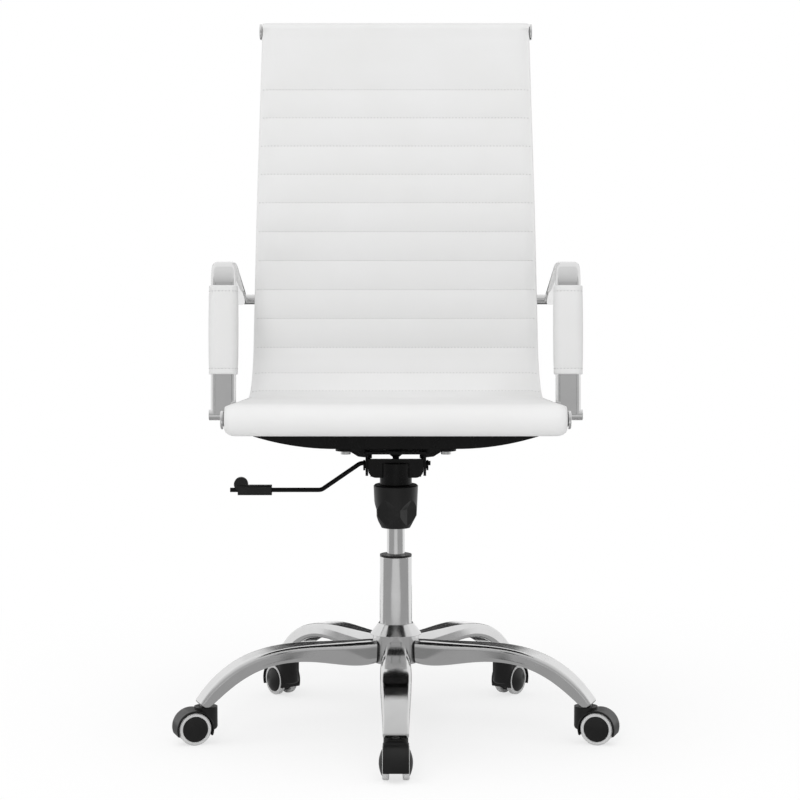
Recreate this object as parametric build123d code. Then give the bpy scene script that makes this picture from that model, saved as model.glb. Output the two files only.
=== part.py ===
from build123d import *
import math
import os

# High-back swivel office chair. Millimetres, +Z up, the sitter faces -Y.
# The origin is on the floor, on the axis of the gas column.

# Clearances
RUN_FIT = 0.05          # radial gap of a shaft that turns or slides in its bore
SEAT_GAP = 0.2          # gap between pieces of one body that lie against each other
SOFT_GAP = 0.4          # gap between upholstery and the metal that it lies on
MOVE_GAP = 0.6          # gap between faces that pass each other
RUN_OUT = 1.0           # how far a cut runs past the face that it opens

# Sling: the padded seat and back in one piece, as a line in the side view
SLING_FRONT_Y = -232.0
SLING_FRONT_Z = 528.0
SEAT_LENGTH = 460.0
SEAT_DROP = 27.0
SEAT_BEND_RADIUS = 90.0
LOWER_BACK_HEIGHT = 300.0
LOWER_BACK_LEAN = 6.5
UPPER_BACK_HEIGHT = 304.0
UPPER_BACK_LEAN = 12.8
LUMBAR_RADIUS = 700.0
SLING_THICKNESS = 14.0
SEAM_THICKNESS = 8.0
EDGE_THICKNESS = 6.0
EDGE_SEAM_THICKNESS = 4.8
EDGE_DRAW_IN = 14.0
RIB_COUNT = 18
HEAD_PANEL = 102.0
FRONT_PANEL = 81.0
FRONT_ROLL_RADIUS = 24.0
TOP_ROLL_RADIUS = 15.0
ROLL_DRAW_IN = 2.0
HALF_WIDTH_FRONT = 250.0
HALF_WIDTH_CREASE = 236.0
HALF_WIDTH_TOP = 222.0

# Side rails, cross tubes and their end caps
RAIL_DEPTH = 20.0
RAIL_THICKNESS = 10.0
RAIL_INSET = 14.0
CROSS_TUBE_RADIUS = 9.5
CAP_RADIUS = 13.5
CAP_THICKNESS = 4.0
CAP_SPIGOT_RADIUS = 5.0
CAP_SPIGOT_LENGTH = 12.0
BRACE_RADIUS = 8.0
BRACE_HEIGHT = 700.0

# Black bars under the seat
BAR_SPACING = 200.0
BAR_WIDTH = 32.0
BAR_HEIGHT = 28.0
BAR_LOW_Z = 455.0

# Arms and their sleeves
ARM_SIDE_GAP = 0.5
ARM_WIDTH = 39.0
ARM_THICKNESS = 18.0
ARM_FRONT_Y = -40.0
ARM_REAR_Z = 661.0
ARM_KNEE_Y = -12.0
ARM_KNEE_Z = 731.0
ARM_BEND_RADIUS = 30.0
SLEEVE_WALL = 3.0
SLEEVE_TOP_Z = 697.0
SLEEVE_BOTTOM_Z = 561.0
BOSS_RADIUS = 8.2
BOSS_PROUD = 2.5
ARM_BOLT_RADIUS = 4.0
ARM_BOLT_HEAD_RADIUS = 7.0
ARM_BOLT_HEAD = 4.0
ARM_BOLT_REACH = 14.0

# Tilt mechanism
PIVOT_Y = -35.0
PIVOT_Z = 421.0
PIVOT_RADIUS = 5.0
PIVOT_HEAD_RADIUS = 8.0
PIVOT_HEAD = 3.0
HOUSING_HALF_WIDTH = 42.0
HOUSING_WALL = 3.5
HOUSING_BOTTOM_Z = 408.0
HOUSING_TOP_Z = 437.0
HOUSING_FRONT_Y = -90.0
HOUSING_REAR_Y = 46.0
HOUSING_REAR_TOP_Z = 418.0
HOUSING_CORNER = 12.0
EAR_THICKNESS = 4.0
EAR_LENGTH = 36.0
EAR_BOTTOM_Z = 405.0
PLATE_Z = 444.0
PLATE_THICKNESS = 4.0
PLATE_LENGTH = 150.0
WING_WIDTH = 30.0
WING_START = 46.0
WING_BEND = 0.45        # share of a wing's reach that lies flat
WING_FLANGE = 7.0
BOLT_SPACING_X = 152.0
PLATE_BOLT_RADIUS = 4.0
PLATE_BOLT_HEAD_RADIUS = 7.5
PLATE_BOLT_HEAD = 5.0
PLATE_BOLT_REACH = 12.0
SOCKET_RADIUS = 20.0
SOCKET_BOTTOM_Z = 394.0

# Tension spring, its barrel, bolt and knob
KNOB_Y = -76.0
BARREL_RADIUS = 24.5
BARREL_WALL = 2.0
BARREL_BOTTOM_Z = 397.0
BARREL_TOP_Z = 430.0
SPRING_RADIUS = 16.0
SPRING_WIRE = 4.0
SPRING_PITCH = 5.2
SPRING_TURNS = 5
TENSION_BOLT_RADIUS = 5.0
TENSION_HEAD_RADIUS = 10.0
TENSION_HEAD = 5.0
KNOB_RADIUS = 34.0
KNOB_WAIST_RADIUS = 32.0
KNOB_FOOT_RADIUS = 22.0
KNOB_HEIGHT = 66.0
KNOB_CHAMFER = 19.0
KNOB_FLUTES = 5
KNOB_FLUTE_DEPTH = 9.5
KNOB_FLUTE_TOP = 20.0
KNOB_FLUTE_RUN = 16.0
KNOB_FLUTE_ANGLE = 164.0
KNOB_TURN = 27.0
KNOB_RECESS_RADIUS = 14.0
KNOB_RECESS = 3.0
KNOB_ROUND = 2.0

# Height lever
LEVER_Z = 420.0
LEVER_RADIUS = 3.5
LEVER_RIGHT_X = 54.0
LEVER_KNEE_X = -55.0
LEVER_ELBOW_X = -116.0
LEVER_LOW_Z = 378.0
LEVER_LEFT_X = -258.0
LEVER_BEND_RADIUS = 14.0
LEVER_PIVOT_X = -40.0
LEVER_PIN_RADIUS = 1.4
LEVER_LIFT = 5.0
LEVER_PULL = 5.0
BUSH_RADIUS = 6.5
BUSH_FLANGE_RADIUS = 9.0
BUSH_FLANGE = 3.0
BUSH_LENGTH = 9.0
HANDLE_LENGTH = 53.0
HANDLE_WIDTH = 14.0
HANDLE_ROUND = 4.0
HANDLE_HEIGHT = 16.0
ROD_TIP = 12.0
TAB_RADIUS = 11.0
TAB_THICKNESS = 9.0
TAB_SETBACK = 5.0
TAB_RISE = 9.0

# Gas lift
LIFT_TRAVEL = 100.0
LIFT_RADIUS = 14.0
LIFT_BOTTOM_Z = 165.0
LIFT_ROD_RADIUS = 5.0
LIFT_ROD_TOP_Z = 290.0
LIFT_ROD_CLIP = 3.0
VALVE_RADIUS = 4.0
VALVE_LENGTH = 12.0
VALVE_DOME = 12.0
COLUMN_RADIUS = 25.0
COLUMN_TOP_Z = 274.0
COLUMN_WALL = 2.5
COLUMN_NECK_RADIUS = 18.5
COLUMN_BOTTOM_Z = 50.0
COLUMN_FLOOR = 4.0
LINER_LENGTH = 100.0
LINER_FLANGE = 3.0
BEARING_RADIUS = 11.0
BEARING_HEIGHT = 5.0

# Five-star base
LEG_COUNT = 5
LEG_REACH = 306.0
HUB_RADIUS = 36.0
HUB_COLLAR_RADIUS = 40.0
HUB_BOTTOM_Z = 108.0
HUB_COLLAR_Z = 152.0
HUB_TOP_Z = 169.0
HUB_TAPER = 2.0
LEG_END_Z = 58.4
LEG_ROOT_WIDTH = 34.0
LEG_ROOT_HEIGHT = 36.0
LEG_ROOT_Z = 126.0
LEG_MID_WIDTH = 46.0
LEG_MID_HEIGHT = 23.0
LEG_MID_REACH = 190.0
LEG_MID_Z = 129.5
LEG_TIP_WIDTH = 38.0
LEG_TIP_HEIGHT = 15.0
LEG_ROUND = 0.28
LEG_TIP_OVERRUN = 7.0
LEG_TIP_ROUND = 3.5
LEG_SLOPES = (2, 1, -6, -22, -42, -56)

# Casters
TRAIL = 20.0
WHEEL_RADIUS = 25.0
WHEEL_INNER = 9.75
WHEEL_WIDTH = 15.0
RIM_RADIUS = 19.5
WHEEL_DOME = 5.0
TREAD_SHOULDER = 2.5
HOOD_RADIUS = 29.0
HOOD_HALF_WIDTH = 19.0
HOOD_SKIRT_Z = 15.0
HOOD_WHEEL_GAP = 1.5
HOOD_BOSS_RADIUS = 18.0
HOOD_BOSS_LOW_Z = 21.0
HOOD_BOSS_ROUND = 6.0
HOOD_TOP_Z = 57.0
HOOD_ROUND = 2.0
AXLE_RADIUS = 3.0
AXLE_DEPTH = 0.6        # share of a wheel's width that the axle enters
STEM_RADIUS = 5.5
STEM_TOP_Z = 69.0
STEM_BOTTOM_Z = 38.0
STEM_COLLAR_RADIUS = 9.0


# Helpers
def round_bar(radius, start, end):
    """A round bar between two points."""
    axis = Vector(*end) - Vector(*start)
    return Plane(origin=start, z_dir=axis) * Cylinder(
        radius, axis.length, align=(Align.CENTER, Align.CENTER, Align.MIN)
    )


def turned(points):
    """A solid of revolution about Z from (radius, z) points."""
    outline = Polyline(*[(radius, 0, z) for radius, z in points], close=True)
    return revolve(Face(Wire(outline.edges())), Axis.Z)


def box_between(low, high):
    """A box from its low corner to its high corner."""
    size = Vector(*high) - Vector(*low)
    return Pos(*low) * Box(size.X, size.Y, size.Z, align=(Align.MIN, Align.MIN, Align.MIN))


# Side view line of the sling, with its frame of tangents and normals
def sling_line():
    crease = (SLING_FRONT_Y + SEAT_LENGTH, SLING_FRONT_Z - SEAT_DROP)
    lower_run = LOWER_BACK_HEIGHT * math.tan(math.radians(LOWER_BACK_LEAN))
    lumbar = (crease[0] + lower_run, crease[1] + LOWER_BACK_HEIGHT)
    upper_run = UPPER_BACK_HEIGHT * math.tan(math.radians(UPPER_BACK_LEAN))
    top = (lumbar[0] + upper_run, lumbar[1] + UPPER_BACK_HEIGHT)
    corners = [(SLING_FRONT_Y, SLING_FRONT_Z), crease, lumbar, top]
    line = FilletPolyline(*corners, radius=[SEAT_BEND_RADIUS, LUMBAR_RADIUS])
    return Wire(line.edges()), corners


LINE, LINE_CORNERS = sling_line()
LINE_LENGTH = LINE.length


def on_line(distance, offset):
    """A side view point at a distance along the sling's line, offset towards the sitter."""
    share = distance / LINE_LENGTH
    point = LINE @ share
    along = LINE % share
    return point.X - along.Y * offset, point.Y + along.X * offset


def side_slopes():
    """How the half width changes with y and with z, from its three stated values."""
    front, crease, _, top = LINE_CORNERS
    dy1 = crease[0] - front[0]
    dz1 = crease[1] - front[1]
    dy2 = top[0] - front[0]
    dz2 = top[1] - front[1]
    dx1 = HALF_WIDTH_CREASE - HALF_WIDTH_FRONT
    dx2 = HALF_WIDTH_TOP - HALF_WIDTH_FRONT
    scale = dy1 * dz2 - dy2 * dz1
    return (dx1 * dz2 - dx2 * dz1) / scale, (dy1 * dx2 - dy2 * dx1) / scale


SLOPE_Y, SLOPE_Z = side_slopes()
EDGE_SLOPE = abs(SLOPE_Y) + abs(SLOPE_Z)


def half_width(y, z):
    """Half the sling's width at a side view point: each edge lies in one plane."""
    return HALF_WIDTH_FRONT + SLOPE_Y * (y - SLING_FRONT_Y) + SLOPE_Z * (z - SLING_FRONT_Z)


def on_side(point, side, inset):
    """A side view point placed in 3D, inset from the sling's left or right edge."""
    y, z = point
    return Vector(side * (half_width(y, z) - inset), y, z)


def roll_centre(distance, radius):
    return on_line(distance, SLING_THICKNESS / 2 - radius)


FRONT_ROLL = roll_centre(0, FRONT_ROLL_RADIUS)
TOP_ROLL = roll_centre(LINE_LENGTH, TOP_ROLL_RADIUS)
RAIL_OFFSET = -(SLING_THICKNESS / 2 + SOFT_GAP + RAIL_DEPTH / 2)
RIB_PITCH = (LINE_LENGTH - HEAD_PANEL - FRONT_PANEL) / RIB_COUNT
SEAMS = [LINE_LENGTH - HEAD_PANEL - RIB_PITCH * i for i in range(RIB_COUNT, -1, -1)]


# Upholstery
def sling_section(side, inset, thickness, seam, shrink):
    """The sling's closed outline in the side view, with a rib between every two seams."""
    half = thickness / 2
    knots = [0.0] + SEAMS + [LINE_LENGTH]
    halves = [half] + [seam / 2] * len(SEAMS) + [half]

    def place(point):
        return on_side(point, side, inset)

    def surface(sign):
        edges = []
        for i in range(len(knots) - 1):
            middle = (knots[i] + knots[i + 1]) / 2
            ends = [place(on_line(knots[j], sign * halves[j])) for j in (i, i + 1)]
            edges.append((ends[0], place(on_line(middle, sign * half)), ends[1]))
        return edges

    def roll(distance, radius, ahead):
        """Three arcs round a cross tube, from the sitter's side to the far side."""
        share = distance / LINE_LENGTH
        along = LINE % share
        tangent = (along.X * ahead, along.Y * ahead)
        normal = (-along.Y, along.X)
        centre = on_line(distance, half - radius)
        close = -math.acos((radius - thickness) / radius)
        angles = [i * (2 * math.pi + close) / 6 for i in range(7)]
        ring = []
        for angle in angles:
            reach_n = radius * math.cos(angle)
            reach_t = radius * math.sin(angle)
            ring.append(place((
                centre[0] + normal[0] * reach_n + tangent[0] * reach_t,
                centre[1] + normal[1] * reach_n + tangent[1] * reach_t,
            )))
        return [(ring[i], ring[i + 1], ring[i + 2]) for i in (0, 2, 4)]

    front_roll = roll(0, FRONT_ROLL_RADIUS - shrink, -1)
    top_roll = roll(LINE_LENGTH, TOP_ROLL_RADIUS - shrink, 1)
    face_side = surface(1)
    far_side = surface(-1)
    far_side[0] = (front_roll[-1][2], far_side[0][1], far_side[0][2])
    far_side[-1] = (far_side[-1][0], far_side[-1][1], top_roll[-1][2])
    loop = list(face_side) + top_roll
    loop += [(c, b, a) for a, b, c in reversed(far_side)]
    loop += [(c, b, a) for a, b, c in reversed(front_roll)]
    return Face(Wire([ThreePointArc(*arc) for arc in loop]))


def make_sling(rail_spaces):
    sections = []
    for side in (-1, 1):
        thin = sling_section(side, 0, EDGE_THICKNESS, EDGE_SEAM_THICKNESS, ROLL_DRAW_IN)
        full = sling_section(side, EDGE_DRAW_IN, SLING_THICKNESS, SEAM_THICKNESS, 0)
        sections += [thin, full] if side < 0 else [full, thin]
    body = loft(sections, ruled=True)
    for centre in (FRONT_ROLL, TOP_ROLL):
        reach = HALF_WIDTH_FRONT * 2
        body -= round_bar(CROSS_TUBE_RADIUS + SOFT_GAP, (-reach, *centre), (reach, *centre))
    for space in rail_spaces:
        body -= space
    return body


# Side frame
def rail_path(side, offset):
    """The sling's line moved to the rail, lines and arcs kept."""
    pieces = []
    travelled = 0.0
    for edge in LINE.edges():
        marks = [travelled + edge.length * share for share in (0, 0.5, 1)]
        points = [on_side(on_line(mark, offset), side, RAIL_INSET) for mark in marks]
        straight = edge.geom_type == GeomType.LINE
        pieces.append(Line(points[0], points[2]) if straight else ThreePointArc(*points))
        travelled += edge.length
    return Wire(pieces)


def rail_sweep(side, depth, thickness):
    path = rail_path(side, RAIL_OFFSET)
    start = Plane(origin=path @ 0, x_dir=(side, 0, 0), z_dir=path % 0)
    return sweep(start * SlotOverall(depth, thickness, rotation=90), path=path)


def make_rail(side, tube_spaces, arm_spaces):
    rail = rail_sweep(side, RAIL_DEPTH, RAIL_THICKNESS)
    for space in tube_spaces + arm_spaces:
        rail -= space
    return rail


def cap_seat(centre):
    """Where the flat back of an end cap clears the slanting edge of the sling."""
    return half_width(*centre) + SOFT_GAP + CAP_RADIUS * EDGE_SLOPE


def cross_tube(centre, extra):
    reach = cap_seat(centre) - SEAT_GAP
    return round_bar(CROSS_TUBE_RADIUS + extra, (-reach, *centre), (reach, *centre))


def make_cross_tube(centre):
    reach = cap_seat(centre) - SEAT_GAP
    tube = cross_tube(centre, 0)
    for side in (-1, 1):
        inner = side * (reach - CAP_SPIGOT_LENGTH - SEAT_GAP)
        tube -= round_bar(CAP_SPIGOT_RADIUS + SEAT_GAP, (inner, *centre), (side * reach, *centre))
    return tube


def make_cap(centre, side):
    inner = cap_seat(centre)
    outer = inner + CAP_THICKNESS
    disc = round_bar(CAP_RADIUS, (side * inner, *centre), (side * outer, *centre))
    rim = disc.edges().filter_by(GeomType.CIRCLE).sort_by(Axis.X)[-1 if side > 0 else 0]
    disc = fillet(rim, CAP_THICKNESS / 3)
    root = side * (inner - CAP_SPIGOT_LENGTH)
    return disc + round_bar(CAP_SPIGOT_RADIUS, (root, *centre), (side * inner, *centre))


def rail_height(y):
    """The rail's centre height under the seat."""
    slope = -SEAT_DROP / SEAT_LENGTH
    normal = math.sqrt(1 + slope * slope)
    return SLING_FRONT_Z + slope * (y - SLING_FRONT_Y) + RAIL_OFFSET * normal


def rail_depth_at(z):
    """The rail's centre y on the lower back, at a height."""
    _, crease, _, _ = LINE_CORNERS
    slope = math.tan(math.radians(LOWER_BACK_LEAN))
    normal = math.sqrt(1 + slope * slope)
    return crease[0] + slope * (z - crease[1]) - RAIL_OFFSET * normal


def rail_inner_x(y, z, reach):
    """Where a flat end of a given reach clears the rail's slanting inner side."""
    return half_width(y, z) - RAIL_INSET - RAIL_THICKNESS / 2 - SEAT_GAP - reach * EDGE_SLOPE


def rail_outer_x(y, z, reach):
    """Where a flat end of a given reach clears the rail's slanting outer side."""
    return half_width(y, z) - RAIL_INSET + RAIL_THICKNESS / 2 + SEAT_GAP + reach * EDGE_SLOPE


def make_back_brace():
    y = rail_depth_at(BRACE_HEIGHT)
    reach = rail_inner_x(y, BRACE_HEIGHT, BRACE_RADIUS)
    return round_bar(BRACE_RADIUS, (-reach, y, BRACE_HEIGHT), (reach, y, BRACE_HEIGHT))


def make_seat_bar(y):
    """A bar bowed like a dish from rail to rail, flat where the plate's wings bolt on."""
    high = rail_height(y) + RAIL_DEPTH / 2 - BAR_HEIGHT / 2 - 2 * SOFT_GAP
    low = BAR_LOW_Z + BAR_HEIGHT / 2
    reach = rail_inner_x(y, high, BAR_WIDTH / 2)
    flat = (BOLT_SPACING_X + WING_WIDTH) / 2
    past = reach + BAR_HEIGHT / 2
    path = Wire([
        TangentArc((-flat, y, low), (-past, y, high), tangent=(-1, 0, 0)),
        Line((-flat, y, low), (flat, y, low)),
        TangentArc((flat, y, low), (past, y, high), tangent=(1, 0, 0)),
    ])
    section = Plane(origin=path @ 0, x_dir=(0, 1, 0), z_dir=path % 0)
    bar = sweep(section * Rectangle(BAR_WIDTH, BAR_HEIGHT), path=path)
    for near, far in ((-past - BAR_WIDTH, -reach), (reach, past + BAR_WIDTH)):
        bar -= box_between((near, y - BAR_WIDTH, low - BAR_WIDTH), (far, y + BAR_WIDTH, high + BAR_WIDTH))
    for x in (-BOLT_SPACING_X / 2, BOLT_SPACING_X / 2):
        tip = (x, y, BAR_LOW_Z + PLATE_BOLT_REACH + RUN_OUT)
        bar -= round_bar(PLATE_BOLT_RADIUS + SEAT_GAP, (x, y, BAR_LOW_Z), tip)
    return bar


# Arms
ARM_REAR_Y = rail_depth_at(ARM_REAR_Z)
ARM_FRONT_Z = rail_height(ARM_FRONT_Y)
ARM_X = half_width(ARM_FRONT_Y - ARM_THICKNESS, ARM_FRONT_Z) + ARM_SIDE_GAP + ARM_WIDTH / 2


def arm_path(side):
    points = [(ARM_REAR_Y, ARM_REAR_Z), (ARM_KNEE_Y, ARM_KNEE_Z), (ARM_FRONT_Y, ARM_FRONT_Z)]
    return FilletPolyline(*[(side * ARM_X, y, z) for y, z in points], radius=ARM_BEND_RADIUS)


def arm_ends():
    return [(ARM_REAR_Y, ARM_REAR_Z), (ARM_FRONT_Y, ARM_FRONT_Z)]


def make_arm(side):
    path = arm_path(side)
    start = Plane(origin=path @ 0, x_dir=(1, 0, 0), z_dir=path % 0)
    arm = sweep(start * SlotOverall(ARM_WIDTH, ARM_THICKNESS), path=path)
    for y, z in arm_ends():
        inner = side * rail_outer_x(y, z, BOSS_RADIUS)
        outer = side * (ARM_X + ARM_WIDTH / 2 + BOSS_PROUD)
        arm += round_bar(BOSS_RADIUS, (inner, y, z), (outer, y, z))
        bolt_end = side * (rail_outer_x(y, z, BOSS_RADIUS) + ARM_BOLT_REACH + RUN_OUT)
        arm -= round_bar(ARM_BOLT_RADIUS + SEAT_GAP, (inner, y, z), (bolt_end, y, z))
    return arm


def make_sleeve(side):
    """A wrapped sleeve on the straight front leg of the arm."""
    path = arm_path(side)
    leg = path.edges()[-1]
    direction = (leg % 0.5).normalized()
    foot = leg @ 1
    top = foot + direction * ((SLEEVE_TOP_Z - foot.Z) / direction.Z)
    bottom = foot + direction * ((SLEEVE_BOTTOM_Z - foot.Z) / direction.Z)
    start = Plane(origin=top, x_dir=(1, 0, 0), z_dir=direction)
    inner = SOFT_GAP * 2
    outer = inner + SLEEVE_WALL * 2
    ring = SlotOverall(ARM_WIDTH + outer, ARM_THICKNESS + outer)
    ring -= SlotOverall(ARM_WIDTH + inner, ARM_THICKNESS + inner)
    return extrude(start * ring, (bottom - top).length)


def arm_bolt_spaces(side):
    spaces = []
    for y, z in arm_ends():
        inner = side * (rail_inner_x(y, z, BOSS_RADIUS) - RUN_OUT)
        outer = side * (rail_outer_x(y, z, BOSS_RADIUS) + RUN_OUT)
        spaces.append(round_bar(ARM_BOLT_RADIUS + SEAT_GAP, (inner, y, z), (outer, y, z)))
    return spaces


def make_arm_bolts():
    bolts = []
    for side in (-1, 1):
        for y, z in arm_ends():
            seat = rail_inner_x(y, z, ARM_BOLT_HEAD_RADIUS)
            head = (side * (seat - ARM_BOLT_HEAD), y, z)
            neck = (side * seat, y, z)
            tip = (side * (rail_outer_x(y, z, BOSS_RADIUS) + ARM_BOLT_REACH), y, z)
            shank = round_bar(ARM_BOLT_RADIUS, neck, tip)
            bolts.append(round_bar(ARM_BOLT_HEAD_RADIUS, head, neck) + shank)
    return bolts


# Tilt mechanism
LEVER_REACH = LEVER_PULL - LEVER_PIVOT_X
LEVER_SLOPE = math.sin(math.radians(LEVER_LIFT))
VALVE_TOP_Z = LEVER_Z - LEVER_RADIUS - SEAT_GAP
VALVE_STROKE = LEVER_REACH * math.radians(LEVER_LIFT)
SOCKET_TOP_Z = LEVER_Z - LEVER_RADIUS - (LEVER_REACH + SOCKET_RADIUS) * LEVER_SLOPE - RUN_OUT


def make_tilt_housing():
    """A pressed channel with sloping rear walls, a gas lift socket, a barrel hole and a lever slot."""
    length = HOUSING_REAR_Y - HOUSING_FRONT_Y
    middle_y = (HOUSING_REAR_Y + HOUSING_FRONT_Y) / 2
    height = HOUSING_TOP_Z - HOUSING_BOTTOM_Z
    middle = Pos(0, middle_y, HOUSING_BOTTOM_Z + height / 2)
    outer = Box(HOUSING_HALF_WIDTH * 2, length, height)
    low_edges = outer.edges().filter_by(Axis.Y).group_by(Axis.Z)[0]
    outer = middle * fillet(low_edges, HOUSING_CORNER)
    inner_half = HOUSING_HALF_WIDTH - HOUSING_WALL
    inner = Pos(0, 0, HOUSING_WALL) * Box(inner_half * 2, length + 2 * RUN_OUT, height)
    low_edges = inner.edges().filter_by(Axis.Y).group_by(Axis.Z)[0]
    inner = middle * fillet(low_edges, HOUSING_CORNER - HOUSING_WALL)
    housing = outer - inner
    housing += box_between(
        (-inner_half, HOUSING_FRONT_Y, HOUSING_BOTTOM_Z + HOUSING_WALL / 2),
        (inner_half, HOUSING_FRONT_Y + HOUSING_WALL, HOUSING_TOP_Z),
    )
    slope_start = PIVOT_Y + PIVOT_HEAD_RADIUS + HOUSING_WALL
    slope = Polyline(
        (0, slope_start, HOUSING_TOP_Z + RUN_OUT),
        (0, slope_start, HOUSING_TOP_Z),
        (0, HOUSING_REAR_Y + RUN_OUT, HOUSING_REAR_TOP_Z),
        (0, HOUSING_REAR_Y + RUN_OUT, HOUSING_TOP_Z + RUN_OUT),
        close=True,
    )
    housing -= extrude(Face(Wire(slope.edges())), HOUSING_HALF_WIDTH + RUN_OUT, both=True, dir=(1, 0, 0))
    housing += round_bar(SOCKET_RADIUS, (0, 0, SOCKET_BOTTOM_Z), (0, 0, SOCKET_TOP_Z))
    bore_ends = [(0, 0, SOCKET_BOTTOM_Z - RUN_OUT), (0, 0, LEVER_Z)]
    housing -= round_bar(LIFT_RADIUS + RUN_FIT, *bore_ends)
    housing -= round_bar(
        BARREL_RADIUS + RUN_FIT,
        (0, KNOB_Y, HOUSING_BOTTOM_Z - RUN_OUT),
        (0, KNOB_Y, BARREL_TOP_Z + SEAT_GAP),
    )
    wide = HOUSING_HALF_WIDTH + RUN_OUT
    housing -= round_bar(PIVOT_RADIUS + RUN_FIT, (-wide, PIVOT_Y, PIVOT_Z), (wide, PIVOT_Y, PIVOT_Z))
    bush_end = BUSH_LENGTH + RUN_OUT - HOUSING_HALF_WIDTH
    housing -= round_bar(BUSH_RADIUS + RUN_FIT, (-wide, 0, LEVER_Z), (bush_end, 0, LEVER_Z))
    slot_half = LEVER_RADIUS + MOVE_GAP
    housing -= box_between((0, -slot_half, SOCKET_TOP_Z), (wide, slot_half, HOUSING_TOP_Z))
    floor_slot = (SOCKET_RADIUS, -slot_half, HOUSING_BOTTOM_Z - RUN_OUT)
    housing -= box_between(floor_slot, (wide, slot_half, LEVER_Z))
    return housing


def make_pivot_pin():
    ear_outer = HOUSING_HALF_WIDTH + MOVE_GAP + EAR_THICKNESS + MOVE_GAP
    tip = ear_outer + PIVOT_HEAD
    pin = round_bar(PIVOT_RADIUS, (-tip, PIVOT_Y, PIVOT_Z), (tip, PIVOT_Y, PIVOT_Z))
    for side in (-1, 1):
        neck = (side * ear_outer, PIVOT_Y, PIVOT_Z)
        pin += round_bar(PIVOT_HEAD_RADIUS, neck, (side * tip, PIVOT_Y, PIVOT_Z))
    return pin


def make_tilt_plate():
    """The butterfly plate: a flat middle, two hanging ears and four wings that rise to the seat bars."""
    half = HOUSING_HALF_WIDTH + MOVE_GAP + EAR_THICKNESS
    plate = box_between(
        (-half, -PLATE_LENGTH / 2 + PIVOT_Y / 2, PLATE_Z),
        (half, PLATE_LENGTH / 2 + PIVOT_Y / 2, PLATE_Z + PLATE_THICKNESS),
    )
    for side in (-1, 1):
        inner = side * (half - EAR_THICKNESS)
        low_x, high_x = sorted((inner, side * half))
        ear = box_between(
            (low_x, PIVOT_Y - EAR_LENGTH / 2, EAR_BOTTOM_Z),
            (high_x, PIVOT_Y + EAR_LENGTH / 2, PLATE_Z + PLATE_THICKNESS / 2),
        )
        low_edges = ear.edges().filter_by(Axis.X).group_by(Axis.Z)[0]
        plate += fillet(low_edges, EAR_LENGTH / 3)
    wide = half + RUN_OUT
    plate -= round_bar(PIVOT_RADIUS + RUN_FIT, (-wide, PIVOT_Y, PIVOT_Z), (wide, PIVOT_Y, PIVOT_Z))
    plate -= round_bar(
        TENSION_HEAD_RADIUS + MOVE_GAP * 2,
        (0, KNOB_Y, PLATE_Z - RUN_OUT),
        (0, KNOB_Y, PLATE_Z + PLATE_THICKNESS + RUN_OUT),
    )
    pad_z = BAR_LOW_Z - SEAT_GAP
    for side_x in (-1, 1):
        for side_y in (-1, 1):
            bolt = Vector(side_x * BOLT_SPACING_X / 2, side_y * BAR_SPACING / 2, 0)
            root = Vector(side_x * half / 2, side_y * WING_START, 0)
            along = bolt - root
            reach = along.length
            pad = WING_WIDTH / 2
            low = PLATE_Z
            high = pad_z - PLATE_THICKNESS
            wing = Polyline(
                (0, 0, low),
                (reach * WING_BEND, 0, low),
                (reach * WING_BEND, 0, low - WING_FLANGE),
                (reach - pad, 0, high),
                (reach + pad, 0, high),
                (reach + pad, 0, high + PLATE_THICKNESS),
                (reach - pad, 0, high + PLATE_THICKNESS),
                (reach * WING_BEND, 0, low + PLATE_THICKNESS),
                (0, 0, low + PLATE_THICKNESS),
                close=True,
            )
            blade = extrude(Face(Wire(wing.edges())), WING_WIDTH / 2, both=True, dir=(0, 1, 0))
            tip_edges = blade.edges().filter_by(Axis.Z).group_by(Axis.X)[-1]
            blade = fillet(tip_edges, WING_WIDTH / 2 - RUN_OUT)
            angle = math.degrees(math.atan2(along.Y, along.X))
            plate += Pos(root.X, root.Y, 0) * Rot(0, 0, angle) * blade
            hole_ends = [(bolt.X, bolt.Y, z) for z in (high - RUN_OUT, pad_z + RUN_OUT)]
            plate -= round_bar(PLATE_BOLT_RADIUS + SEAT_GAP, *hole_ends)
    return plate


def make_plate_bolts():
    bolts = []
    seat = BAR_LOW_Z - 2 * SEAT_GAP - PLATE_THICKNESS
    for x in (-BOLT_SPACING_X / 2, BOLT_SPACING_X / 2):
        for y in (-BAR_SPACING / 2, BAR_SPACING / 2):
            head = round_bar(PLATE_BOLT_HEAD_RADIUS, (x, y, seat - PLATE_BOLT_HEAD), (x, y, seat))
            shank = round_bar(PLATE_BOLT_RADIUS, (x, y, seat), (x, y, BAR_LOW_Z + PLATE_BOLT_REACH))
            bolts.append(head + shank)
    return bolts


def make_spring_barrel():
    inner = BARREL_RADIUS - BARREL_WALL
    hole = TENSION_BOLT_RADIUS + SEAT_GAP
    return Pos(0, KNOB_Y, 0) * turned([
        (inner, BARREL_BOTTOM_Z),
        (BARREL_RADIUS, BARREL_BOTTOM_Z),
        (BARREL_RADIUS, BARREL_TOP_Z),
        (hole, BARREL_TOP_Z),
        (hole, BARREL_TOP_Z - BARREL_WALL),
        (inner, BARREL_TOP_Z - BARREL_WALL),
    ])


def make_tension_spring():
    """A coil of round wire that stands under the barrel's top."""
    height = SPRING_PITCH * SPRING_TURNS
    top = BARREL_TOP_Z - BARREL_WALL - SEAT_GAP - SPRING_WIRE / 2
    coil = Helix(SPRING_PITCH, height, SPRING_RADIUS)
    section = Plane(origin=coil @ 0, z_dir=coil % 0) * Circle(SPRING_WIRE / 2)
    return Pos(0, KNOB_Y, top - height) * sweep(section, path=coil)


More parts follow.
